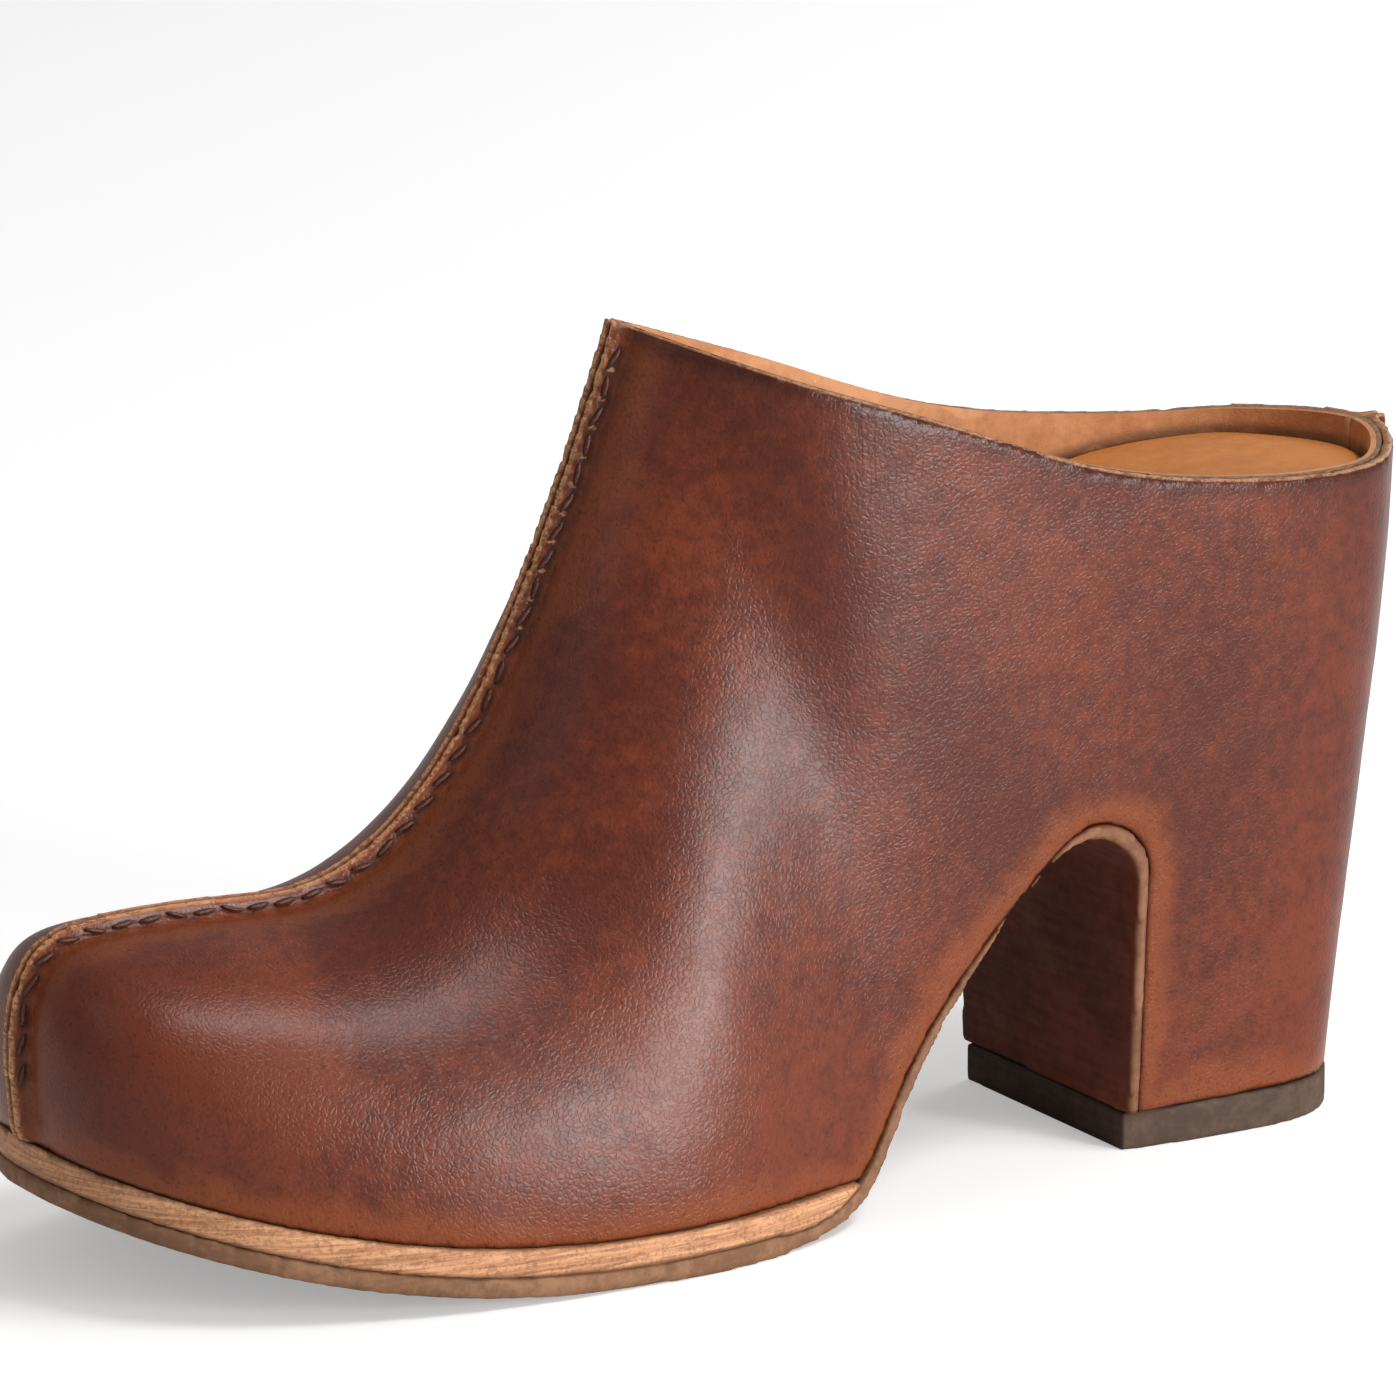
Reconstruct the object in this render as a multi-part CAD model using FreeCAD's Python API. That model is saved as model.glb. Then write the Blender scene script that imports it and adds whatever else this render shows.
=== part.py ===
"""Left heeled clog mule: leather quarters over a wooden heel unit, with a welted forefoot.

Millimetres. +X runs from heel to toe, +Y is the outer side of the foot, +Z is up.
The shapes are laid out with x = 0 at the back of the heel's foot, and every node is moved
at the end so that the origin is the centre of the whole shoe's box, on the ground.
"""
import FreeCAD, Part
import math
import os
from collections import namedtuple

V = FreeCAD.Vector

# ---- Lengths along the shoe -------------------------------------------------------------
heel_length = 46.9            # foot of the heel, back to breast
ball_x = 145.0                # widest place of the forefoot
toe_tip_x = 223.0             # foot of the upper at the tip of the toe
waist_x = 100.0               # where the forefoot ends and the arch begins to rise
spring_start_x = 140.0        # the sole leaves the ground here

# ---- Heights ----------------------------------------------------------------------------
toe_spring = 16.2             # underside of the sole above the ground, below the toe tip
toe_box_height = 54.0         # top of the toe box
throat_x = 122.7              # peak of the front seam
throat_height = 134.6
collar_height = 104.0         # topline round the heel
collar_overhang = 12.2        # how far the back of the collar stands behind the heel's foot
arch_height = 52.0            # highest point under the arch, just before the heel breast
arch_peak_ahead = 9.6         # of the heel breast
seat_height = 92.6            # top of the wooden heel unit under the foot's heel

# ---- Half widths of the upper -----------------------------------------------------------
heel_half_width = 23.0
heel_squareness = 2.5         # exponent of the superellipse at the foot of the heel
collar_half_width = 27.0

Side = namedtuple("Side", "name sign ball_half waist_half arch_half toe_fullness ball_shift instep throat_half")
OUTER = Side("outer", 1, 42.0, 33.5, 29.0, 1.00, 0.0, 1.0, 27.0)
INNER = Side("inner", -1, 40.0, 29.0, 27.0, 1.03, 9.0, 0.84, 25.4)

# ---- Thicknesses ------------------------------------------------------------------------
leather = 1.8
interlayer = 0.7              # toe puff, heel counter or cloth backing
puff_back_x = 178.0
counter_front_x = 46.0
backing_gap = 0.4             # between the cloth backing and the stiffeners
lining = 0.9
ply_gap = 0.05                # between the plies of the upper
outsole_thickness = 3.2
arch_cover = 2.0              # the outsole where it runs up the arch and down the breast
welt_at_ball = 4.0
welt_at_toe = 4.5
sole_edge = 1.3               # how far the sole edge stands out from the upper
arch_edge = 0.3               # the same along the arch and the breast
insole_board = 2.2
footbed_foam = 3.5
sock = 1.2
lift_height = 6.0
lift_edge = 0.3
footbed_clearance = 0.15      # round the footbed, to the lining

# ---- Seams ------------------------------------------------------------------------------
ridge_height = 2.3            # the turned-out edges of the quarters stand this far out
seam_gap = 0.05               # from the middle plane to each turned-out edge
ridge_root = 0.9              # depth at which the turned-out edge starts inside the leather
stitch_pitch = 4.5
thread = 0.7
thread_proud = 0.45
stitch_level = 0.95           # height of the stitches above the leather, up the ridge
hole_clearance = 0.05
front_seam_trim = (9.0, 11.0)     # bare ends of the seam, at the toe and at the throat
back_seam_trim = (14.0, 22.0)     # above the top lift and below the topline

# ---- Hardware ---------------------------------------------------------------------------
shank_width = 10.0
shank_thickness = 1.5
shank_back_x = 14.0
shank_front_x = 122.0
rivet_diameter = 3.0
heel_screw_diameter = 5.0
heel_screw_length = 36.0
screw_head_diameter = 9.0
screw_head_height = 2.0
nail_diameter = 2.2
nail_length = 16.0
lift_nail_head_depth = 2.5    # nail heads sit this far above the tread of the top lift
nail_head_height = 1.0
head_sink = 0.3               # heads in the insole board lie this far below its top
heel_nail_back_x, heel_nail_middle_x = 2.0, 14.0
heel_nail_from_breast = 16.9
heel_nail_from_side = 11.0
lift_nail_back_x, lift_nail_middle_x = 9.0, 20.0
lift_nail_from_breast = 8.9
lift_nail_from_side = 9.0     # the front pair stands a little further in
lift_nail_step_in = 1.0

# ---- Derived ----------------------------------------------------------------------------
arch_peak_x = heel_length + arch_peak_ahead
reach = 70.0                  # half width of the cutting blocks, past the shoe on both sides
TOE_END = toe_tip_x + 22.0    # ends of the cutting blocks
HEEL_END = -collar_overhang - 22.8
TOP_END = throat_height + 40.4

plies = [0.0, leather, leather + ply_gap, leather + ply_gap + interlayer]
lining_outside = plies[3] + ply_gap
lining_inside = lining_outside + lining


# ---- Curves -----------------------------------------------------------------------------
def xz(x, z):
    return V(x, 0, z)


def spline(points, parameters=None):
    curve = Part.BSplineCurve()
    if parameters:
        curve.interpolate(Points=points, Parameters=parameters)
    else:
        curve.interpolate(points)
    return curve


def offset_curve(curve, distance, samples=28):
    """Curve in the XZ plane moved to its left, seen with x to the right and z up."""
    first, last = curve.FirstParameter, curve.LastParameter
    points = []
    for i in range(samples + 1):
        at = first + (last - first) * i / samples
        along = curve.tangent(at)[0]
        points.append(curve.value(at) + V(-along.z, 0, along.x).normalize() * distance)
    return spline(points)


def block(edges, y_low=-reach, y_high=reach):
    """Closed outline in the XZ plane pulled out along Y."""
    face = Part.Face(Part.Wire(Part.__sortEdges__(edges)))
    face.translate(V(0, y_low, 0))
    return face.extrude(V(0, y_high - y_low, 0))


def lines(points):
    return [Part.LineSegment(a, b).toShape() for a, b in zip(points, points[1:])]


def sole_rise(x):
    """Height of the tread of the forefoot: flat, then an arc up to the toe."""
    run = toe_tip_x + sole_edge - spring_start_x
    radius = (run * run + toe_spring * toe_spring) / (2 * toe_spring)
    past = max(0.0, x - spring_start_x)
    return radius - math.sqrt(radius * radius - past * past)


def welt_top(x):
    share = max(0.0, x - spring_start_x) / (toe_tip_x - spring_start_x)
    return sole_rise(x) + outsole_thickness + welt_at_ball + (welt_at_toe - welt_at_ball) * share


def tread_curve(lift_up=0.0):
    """Arc of the tread from the start of the spring to past the toe."""
    xs = [spring_start_x + (TOE_END - spring_start_x) * i / 8 for i in range(9)]
    return spline([xz(x, sole_rise(x) + lift_up) for x in xs])


def welt_curve():
    xs = [spring_start_x + (TOE_END - spring_start_x) * i / 8 for i in range(9)]
    return spline([xz(x, welt_top(x)) for x in xs])


def arch_points(inset=0.0):
    """Underside of the arch from the tread up to its peak and over to the heel breast."""
    toe_side = waist_x + inset
    rise = arch_height - inset
    run = toe_side - arch_peak_x
    breast = heel_length - inset
    return [xz(toe_side + 18.0, inset),
            xz(toe_side + 8.5, inset + 0.025 * rise),
            xz(toe_side + 0.5, inset + 0.09 * rise),
            xz(toe_side - 0.09 * run, inset + 0.19 * rise),
            xz(toe_side - 0.22 * run, 0.38 * rise + inset),
            xz(toe_side - 0.50 * run, 0.68 * rise + inset),
            xz(toe_side - 0.80 * run, 0.93 * rise + inset),
            xz(arch_peak_x - 0.5 * inset, arch_height + inset),
            xz(breast + 2.6, arch_height - 3.0 + inset),
            xz(breast, arch_height - 9.0)]


# ---- Outer surface of the upper ---------------------------------------------------------
Station = namedtuple("Station", "foot low high top")


def heel_foot(width_share):
    """Point of the heel's foot outline: 0 is the middle of the back, 1 the widest place."""
    half = (heel_length - ridge_height / 2) / 2
    inward = (1 - width_share ** heel_squareness) ** (1 / heel_squareness)
    return V(heel_length - half - half * inward, heel_half_width * width_share, 0)


def closed_station(foot, top, low_share, roof, bulge=1.0):
    """Section that arches from its foot to the front seam and meets it square."""
    low = V(foot.x + (top.x - foot.x) * low_share, foot.y + bulge, foot.z + (top.z - foot.z) * low_share)
    return Station(foot, low, V(top.x, roof, top.z), top)


def toe_outline(side, share):
    """Foot of the forefoot: share 0 is the tip of the toe, 1 the ball."""
    angle = share * math.pi / 2
    power = 2 / 2.3
    ball = ball_x + side.ball_shift
    across = math.sin(angle) ** power
    y = side.ball_half * across * (1 + (side.toe_fullness - 1) * 4 * share * (1 - share))
    return V(ball + (toe_tip_x - ball) * math.cos(angle) ** power, y, 0)


def upper_stations(side):
    """Sections of the upper from the tip of the toe round to the middle of the back."""
    tuck = 4.2                        # the surface runs on this far below the welt's top
    tip = V(toe_tip_x - 0.2, 0, welt_top(toe_tip_x) - tuck - 1.4)

    def foot(share):
        point = toe_outline(side, share)
        return V(point.x, point.y, welt_top(point.x) - tuck)

    box = toe_box_height
    seam_run = toe_tip_x - throat_x
    seam_rise = throat_height - box

    def seam(run_share, rise_share):
        return xz(throat_x + seam_run * run_share, box + seam_rise * rise_share)

    ball = side.ball_half
    low_z = 3.0
    shaft = V(throat_x, 0, throat_height)
    waist = side.waist_half
    arch = side.arch_half
    collar = collar_half_width
    throat = side.throat_half
    lean = side.instep
    stations = [
        Station(tip + V(0, 3, 0), tip + V(0.1, 3, 1.7), tip + V(0.2, 1.7, 3), tip + V(0.2, 0, 3)),
        closed_station(foot(0.13), xz(toe_tip_x + 1.3, welt_top(toe_tip_x) + 8.0), 0.62, 8.2 * lean, 1.0),
        closed_station(foot(0.25), xz(toe_tip_x + 1.3, box - 11.0), 0.66, 14.0 * lean, 1.5),
        closed_station(foot(0.37), xz(toe_tip_x - 2.4, box - 3.0), 0.66, 18.5 * lean, 1.8),
        closed_station(foot(0.48), xz(toe_tip_x - 10.5, box - 0.3), 0.66, 22.0, 1.8),
        closed_station(foot(0.60), seam(0.74, 0.0), 0.64, 24.0, 1.6),
        closed_station(foot(0.73), seam(0.58, -0.005), 0.62, 24.5, 1.6),
        closed_station(foot(0.86), seam(0.45, 0.04), 0.58, 23.5 * lean, 1.8),
        closed_station(foot(1.0), seam(0.335, 0.155), 0.52, 21.0 * lean, 2.0),
        closed_station(V(ball_x - 12 + side.ball_shift / 2, ball * 0.995, low_z), seam(0.228, 0.342),
                       0.45, 19.5 * lean, 2.0),
        closed_station(V(ball_x - 23, ball * 0.955, low_z), seam(0.125, 0.60), 0.42, 18.5 * lean, 1.6),
        closed_station(V(ball_x - 33, ball * 0.89, low_z), seam(0.045, 0.84), 0.40, 17.5 * lean, 1.2),
        closed_station(V(waist_x + 4, waist * 1.05, low_z), shaft + V(-1.6, 0, 4.2), 0.38, 17.0, 0.8),
        Station(V(waist_x - 4, waist * 0.975, low_z), V(waist_x, arch + 5.0, arch_height + 3),
                shaft + V(-6.0, 20.5, 3), shaft + V(-5.5, 9.0, 11.5)),
        Station(V(waist_x - 13, waist * 0.91, low_z), V(waist_x - 11, arch + 3.6, arch_height + 3),
                shaft + V(-14.0, throat - 1.0, -10), shaft + V(-13.5, throat - 6.0, 12.5)),
        Station(V(waist_x - 27, (arch + heel_half_width) / 2 + 1.6, low_z),
                V(waist_x - 22, arch + 2.0, arch_height + 3),
                V(throat_x - 32, throat + 1.6, collar_height + 8),
                V(throat_x - 29, throat - 0.3, collar_height + 40)),
        Station(V(heel_length + 8, heel_half_width + 1.6, low_z),
                V(heel_length + 8, arch - 0.8, arch_height - 2),
                V(heel_length + 16, collar + 1.8, collar_height - 4),
                V(heel_length + 22, collar + 1.0, collar_height + 33)),
        Station(V(heel_length - 8, heel_half_width + 0.1, low_z),
                V(heel_length - 9, heel_half_width + 1.8, arch_height - 4),
                V(heel_length - 8, collar + 2.0, collar_height - 16),
                V(heel_length - 4, collar + 0.6, collar_height + 25))]
    full_back = heel_length + collar_overhang
    for share, back, wide in ((1.0, 0.415, 1.0), (0.93, 0.711, 0.90), (0.75, 0.856, 0.70), (0.41, 0.955, 0.38),
                              (0.0, 1.0, 0.0)):
        base = heel_foot(share) + V(0, 0, low_z)
        x = heel_length - back * full_back
        stations.append(Station(base, base + V((x - base.x) * 0.34, 0.8 * wide, arch_height - 10),
                                V(x - 2.6 * (1 - wide), (collar + 1.6) * wide, collar_height - 18),
                                V(x + 0.2, collar * wide * 0.985, collar_height + 18 - 6.5 * (1 - wide))))
    return stations


class UpperSurface:
    """Outer surface of one side of the upper, as rails through its stations."""

    def __init__(self, side):
        stations = upper_stations(side)
        self.last = float(len(stations) - 1)
        beyond = [Station(*[V(p.x, -p.y, p.z) for p in s]) for s in reversed(stations[-8:-1])]
        stations += beyond
        places = [float(i) for i in range(len(stations))]
        self.rails = [spline([s[i] for s in stations], places) for i in range(4)]

    def point(self, u, v):
        a, b, c, d = [rail.value(u) for rail in self.rails]
        w = 1 - v
        return a * w ** 3 + b * (3 * w * w * v) + c * (3 * w * v * v) + d * v ** 3

    def inset(self, u, v, depth):
        """Point of the surface moved inward by the depth."""
        step = 0.004
        u = max(u, step)
        along = self.point(u + step, v) - self.point(u - step, v)
        if u == self.last:
            along = V(0, -1, 0)       # the sides meet square at the middle of the back
        up = self.point(u, v + step) - self.point(u, v - step)
        return self.point(u, v) + along.cross(up).normalize() * -depth

    def grid(self, depth, overlap=0.06, rise=0.035, rows=58, columns=14):
        last_u, last_v = self.last + overlap, 1 + rise
        return [[self.inset(last_u * i / rows, last_v * j / columns, depth) for j in range(columns + 1)]
                for i in range(rows + 1)]


SURFACES = {side.name: UpperSurface(side) for side in (OUTER, INNER)}


def even_spline(points):
    return spline(points, [float(i) for i in range(len(points))])


def through_grid(grid):
    """Smooth surface through rows of points, evenly parametrised so that its borders match others."""
    rows = [even_spline(row) for row in grid]
    lengthwise = [even_spline([row.getPole(k + 1) for row in rows]) for k in range(rows[0].NbPoles)]
    poles = [[curve.getPole(i + 1) for curve in lengthwise] for i in range(lengthwise[0].NbPoles)]
    long_curve, cross_curve = lengthwise[0], rows[0]
    surface = Part.BSplineSurface()
    surface.buildFromPolesMultsKnots(poles, long_curve.getMultiplicities(), cross_curve.getMultiplicities(),
                                     long_curve.getKnots(), cross_curve.getKnots(), False, False, 3, 3)
    return surface


def ruled_face(curve_a, curve_b):
    """Straight-ruled face between two splines that have the same knots."""
    poles = [[a, b] for a, b in zip(curve_a.getPoles(), curve_b.getPoles())]
    surface = Part.BSplineSurface()
    surface.buildFromPolesMultsKnots(poles, curve_a.getMultiplicities(), [2, 2],
                                     curve_a.getKnots(), [0.0, 1.0], False, False, 3, 1)
    return surface.toShape()


def border_curves(surface):
    u0, u1, v0, v1 = surface.bounds()
    return [surface.uIso(u0), surface.uIso(u1), surface.vIso(v0), surface.vIso(v1)]


def solid_from(faces):
    compound = Part.Compound(faces)
    compound.sewShape()
    solid = Part.makeSolid(compound.Shells[0] if compound.ShapeType != "Shell" else compound)
    if solid.Volume < 0:
        solid.reverse()
    return solid


def outward(side, shape):
    """The inner side of the shoe is laid out like the outer one and mirrored."""
    return shape if side.sign > 0 else shape.mirror(V(0, 0, 0), V(0, 1, 0))


def ply(side, outside, inside):
    """Layer of one side of the upper between two depths, untrimmed."""
    shape = SURFACES[side.name]
    outer, inner = through_grid(shape.grid(outside)), through_grid(shape.grid(inside))
    faces = [outer.toShape(), inner.toShape()]
    faces += [ruled_face(a, b) for a, b in zip(border_curves(outer), border_curves(inner))]
    return outward(side, solid_from(faces))


def core(depth):
    """Everything of the shoe that lies deeper than the given depth, as one block."""
    crown_gap = -0.015               # stops just short of the seam line, where both sides meet
    outer, inner = [through_grid([[V(p.x, p.y * side.sign, p.z) for p in row] for row in
                                  SURFACES[side.name].grid(depth, 0.0, crown_gap)]) for side in (OUTER, INNER)]
    faces = [outer.toShape(), inner.toShape()]
    closed_at_back = 1
    for i, (a, b) in enumerate(zip(border_curves(outer), border_curves(inner))):
        if i != closed_at_back:
            faces.append(ruled_face(a, b))
    return solid_from(faces)


def wrap(outside, inside, rows_at, columns_at):
    """One layer over both sides of the shoe, between two depths and across its middle plane."""
    def rows(depth):
        grids = []
        for side in (OUTER, INNER):
            shape = SURFACES[side.name]
            points = [[shape.inset(u, v, depth) for v in columns_at] for u in rows_at]
            grids.append([[V(p.x, p.y * side.sign, p.z) for p in row] for row in points])
        if columns_at[-1] == 1.0:
            return [a + list(reversed(b))[1:] for a, b in zip(*grids)]
        return grids[0] + list(reversed(grids[1]))[1:]

    outer, inner = through_grid(rows(outside)), through_grid(rows(inside))
    faces = [outer.toShape(), inner.toShape()]
    faces += [ruled_face(a, b) for a, b in zip(border_curves(outer), border_curves(inner))]
    return solid_from(faces)


def steps(first, last, count):
    return [first + (last - first) * i / count for i in range(count + 1)]


# ---- Regions in side view ---------------------------------------------------------------
def below_topline():
    """Everything below the edge of the foot opening."""
    back = -collar_overhang
    points = [xz(HEEL_END, collar_height + 1.5),
              xz(back, collar_height + 0.8),
              xz(back + 14.5, collar_height - 0.5),
              xz(back + 40.0, collar_height + 0.7),
              xz(back + 67.0, collar_height + 5.6),
              xz(throat_x - 41.5, throat_height - 15.4),
              xz(throat_x - 16.5, throat_height - 6.5),
              xz(throat_x, throat_height),
              xz(throat_x + 8.0, throat_height + 3.6)]
    frame = lines([points[-1], xz(TOE_END, throat_height), xz(TOE_END, -10), xz(HEEL_END, -10), points[0]])
    return block([spline(points).toShape()] + frame)


def above_sole():
    """Everything above the covered side of the outsole and above the top lift."""
    arch = arch_points(arch_cover)
    tread = tread_curve(outsole_thickness)
    start = xz(spring_start_x, outsole_thickness)
    end = tread.value(tread.LastParameter)
    foot = xz(heel_length - arch_cover, lift_height)
    arch_foot = xz(arch[0].x, outsole_thickness)
    arch[0] = arch_foot
    edges = [tread.toShape(), spline(arch).toShape()] + lines([start, arch_foot]) + lines([arch[-1], foot])
    edges += lines([foot, xz(HEEL_END, lift_height), xz(HEEL_END, TOP_END), xz(TOE_END, TOP_END), end])
    return block(edges)


def below_arch():
    """The empty space under the arch, and the ground below the tread."""
    arch = arch_points()
    tread = tread_curve()
    edges = [tread.toShape(), spline(arch).toShape()]
    edges += lines([xz(spring_start_x, 0), arch[0]])
    edges += lines([arch[-1], xz(heel_length, -20), xz(TOE_END, -20), tread.value(tread.LastParameter)])
    return block(edges)


def above_welt():
    """Everything above the welt layer, where the upper begins."""
    curve = welt_curve()
    level = welt_top(spring_start_x)
    clear_x = arch_peak_x + 12.0          # inside the empty space under the arch
    edges = [curve.toShape()]
    edges += lines([xz(spring_start_x, level), xz(clear_x, level), xz(clear_x, -10), xz(HEEL_END, -10),
                    xz(HEEL_END, TOP_END), xz(TOE_END, TOP_END), curve.value(curve.LastParameter)])
    return block(edges)


def seat_curve():
    """Top of the wooden heel unit and, further forward, of the welt layer."""
    level = welt_top(spring_start_x)
    front_x = steps(spring_start_x, TOE_END, 5)
    drop = seat_height - level
    points = [xz(HEEL_END, seat_height + 1.0),
              xz(-8.0, seat_height + 0.5),
              xz(14.0, seat_height),
              xz(34.0, seat_height - 3.5),
              xz(51.0, level + 0.83 * drop),
              xz(66.0, level + 0.66 * drop),
              xz(80.0, level + 0.47 * drop),
              xz(95.0, level + 0.265 * drop),
              xz(110.0, level + 0.095 * drop),
              xz(124.0, level + 0.016 * drop)]
    return spline(points + [xz(x, welt_top(x)) for x in front_x])


SEAT = seat_curve()


def above_seat(height, top=TOP_END):
    """Everything higher over the seat curve than the given height, measured square to it."""
    curve = offset_curve(SEAT, height) if height else SEAT
    start, end = curve.value(curve.FirstParameter), curve.value(curve.LastParameter)
    return block([curve.toShape()] + lines([end, xz(end.x, top), xz(start.x, top), start]))


def seat_layer(low, high):
    lower = offset_curve(SEAT, low) if low else SEAT
    upper = offset_curve(SEAT, high) if high else SEAT
    ends = [(c.value(c.FirstParameter), c.value(c.LastParameter)) for c in (lower, upper)]
    return block([lower.toShape(), upper.toShape()] + lines([ends[0][0], ends[1][0]])
                 + lines([ends[0][1], ends[1][1]]))


def between_x(low, high, half_width=reach):
    return Part.makeBox(high - low, 2 * half_width, 2 * TOP_END, V(low, -half_width, -TOP_END / 2))


# ---- Plan outlines ----------------------------------------------------------------------
def sole_plan():
    """Outline of the forefoot seen from above, a little wider than the upper."""
    edges = []
    for side in (OUTER, INNER):
        foot_rail = SURFACES[side.name].rails[0]
        points = []
        for u in [0.6, 1.2, 2.0, 3.0, 4.0, 5.0, 6.0, 7.0, 8.0, 9.0, 10.0, 11.0, 12.0, 13.0, 14.0, 15.0]:
            along = foot_rail.tangent(u)[0]
            margin = arch_edge + (sole_edge - arch_edge) * min(1.0, max(0.0, 13.0 - u) / 2.0)
            point = foot_rail.value(u) + V(along.y, -along.x, 0).normalize() * margin
            points.append(V(point.x, point.y * side.sign, 0))
        edges.append(points)
    tip = V(toe_tip_x + sole_edge, 0, 0)
    outline = list(reversed(edges[0])) + [tip] + edges[1]
    back = Part.LineSegment(outline[-1], outline[0]).toShape()
    face = Part.Face(Part.Wire([spline(outline).toShape(), back]))
    face.translate(V(0, 0, -20))
    return face.extrude(V(0, 0, 90))


def heel_plan(margin, low, high):
    """D-shaped block on the foot of the heel, with a straight breast."""
    widths = [0.0, 0.3, 0.55, 0.75, 0.88, 0.96, 1.0]
    back = [heel_foot(w) for w in widths]
    half = heel_length / 2
    grow_x = 1 + margin / half
    grow_y = 1 + margin / heel_half_width
    side = [V(half + (p.x - half) * grow_x, p.y * grow_y, 0) for p in back]
    corner = V(heel_length, heel_half_width * 0.955 * grow_y, 0)
    outer = side + [V(half + 11, heel_half_width * 0.995 * grow_y, 0), corner]
    mirrored = [V(p.x, -p.y, 0) for p in reversed(outer)]
    curve = spline(mirrored[:-1] + outer)
    face = Part.Face(Part.Wire([curve.toShape()] + lines([outer[-1], mirrored[0]])))
    face.translate(V(0, 0, low))
    return face.extrude(V(0, 0, high - low))


# ---- The seams at the toe and the heel --------------------------------------------------
def seam_line(side, edge, height):
    """Centre line of the upper at the front ("top") or back, raised off the leather."""
    shape = SURFACES[side.name]
    if edge == "front":
        points = [shape.inset(u, 1.0, -height) for u in steps(0.3, 12.6, 40)]
    else:
        points = [shape.inset(shape.last, v, -height) for v in steps(0.0, 1.0, 12)]
    return spline([V(p.x, 0, p.z) for p in points])


def turned_edge(side, edge):
    """Edge of a quarter that is turned outward to stand up along the seam."""
    root, crest = seam_line(side, edge, -ridge_root), seam_line(side, edge, ridge_height)
    ends = [(c.value(c.FirstParameter), c.value(c.LastParameter)) for c in (root, crest)]
    outline = [root.toShape(), crest.toShape()]
    outline += lines([ends[0][0], ends[1][0]]) + lines([ends[0][1], ends[1][1]])
    return outward(side, block(outline, -1.0, seam_gap + leather))


def stitch_places(edge):
    """Middle and direction of each stitch along a seam, in the XZ plane."""
    curve = seam_line(OUTER, edge, stitch_level)
    length = curve.length()
    trim = {"front": front_seam_trim, "back": back_seam_trim}[edge]
    count = int((length - sum(trim)) / stitch_pitch)
    places = []
    for i in range(count):
        at = curve.parameterAtDistance(trim[0] + (i + 0.5) * stitch_pitch, curve.FirstParameter)
        places.append((curve.value(at), curve.tangent(at)[0]))
    return places


def stitch(side, place, clearance=0.0):
    """Run of thread on the flank of the ridge, with one leg through to the middle."""
    middle, along = place
    run = stitch_pitch * 0.72
    surface = seam_gap + leather
    leg = Part.makeBox(thread + 2 * clearance, surface + clearance, thread + 2 * clearance,
                       V(-run / 2 - clearance, 0.02, -thread / 2 - clearance))
    bar = Part.makeBox(run, thread_proud, thread, V(-run / 2, surface, -thread / 2))
    shape = leg if clearance else leg.fuse(bar).removeSplitter()
    angle = -math.degrees(math.atan2(along.z, along.x))
    shape.rotate(V(0, 0, 0), V(0, 1, 0), angle)
    shape.translate(middle)
    return outward(side, shape)


# ---- Sub-parts --------------------------------------------------------------------------
UPPER = below_topline().common(above_sole()).common(above_welt())
OVER_SEAT = UPPER.common(above_seat(0.1))
SHOE = {}


def half_space(side):
    low = seam_gap if side.sign > 0 else -reach
    return Part.makeBox(400, reach - seam_gap, 2 * TOP_END, V(-100, low, -TOP_END / 2))


def quarter(side):
    """Leather of one side, with both turned-out edges and the holes for the stitches."""
    sheet = ply(side, plies[0], plies[1])
    sheet = sheet.fuse([turned_edge(side, "front"), turned_edge(side, "back")])
    sheet = sheet.common(UPPER).common(half_space(side))
    holes = [stitch(side, place, hole_clearance) for edge in ("front", "back") for place in stitch_places(edge)]
    return sheet.cut(Part.Compound(holes))


def seam_threads(edge):
    return Part.Compound([stitch(side, place) for side in (OUTER, INNER) for place in stitch_places(edge)])


def middle_layer(side):
    """Cloth backing between the leather and the lining, from the toe puff to the counter."""
    return ply(side, plies[2], plies[3]).common(OVER_SEAT).common(half_space(side)).common(
        between_x(counter_front_x + backing_gap, puff_back_x - backing_gap))


def toe_puff():
    sheet = wrap(plies[2], plies[3], steps(0.0, 8.0, 24), steps(0.0, 1.0, 12))
    return sheet.common(OVER_SEAT).common(between_x(puff_back_x, TOE_END))


def heel_counter():
    last = SURFACES["outer"].last
    sheet = wrap(plies[2], plies[3], steps(14.0, last, 24), steps(0.3, 0.985, 12))
    return sheet.common(OVER_SEAT).common(between_x(HEEL_END, counter_front_x))


def quarter_lining(side):
    return ply(side, lining_outside, lining_inside).common(OVER_SEAT).common(half_space(side))


HEEL_INSIDE = core(plies[1] + ply_gap)
FOOT_INSIDE = core(lining_inside + footbed_clearance)
TRIMMED_OUTSIDE = core(-arch_edge)


def seat_point(x):
    """Point of the seat curve above x, and the direction square to it."""
    low, high = SEAT.FirstParameter, SEAT.LastParameter
    for _ in range(40):
        middle = (low + high) / 2
        low, high = (middle, high) if SEAT.value(middle).x < x else (low, middle)
    along = SEAT.tangent(low)[0]
    return SEAT.value(low), V(-along.z, 0, along.x)


def headed_pin(spot, up, head_top, length, shaft_diameter, head_diameter, head_height):
    """Nail or screw that points down from its head, along the given upward direction."""
    top = spot + up * head_top
    head = Part.makeCylinder(head_diameter / 2, head_height, top - up * head_height, up)
    shaft = Part.makeCylinder(shaft_diameter / 2, length - head_height, top - up * length, up)
    return head.fuse(shaft).removeSplitter()


def pairs(spots):
    """Each spot with its mirror on the other side."""
    return [(x, sign * y) for x, y in spots for sign in (1, -1)]


def shank():
    return seat_layer(-shank_thickness, 0.0).common(between_x(shank_back_x, shank_front_x, shank_width / 2))


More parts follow.
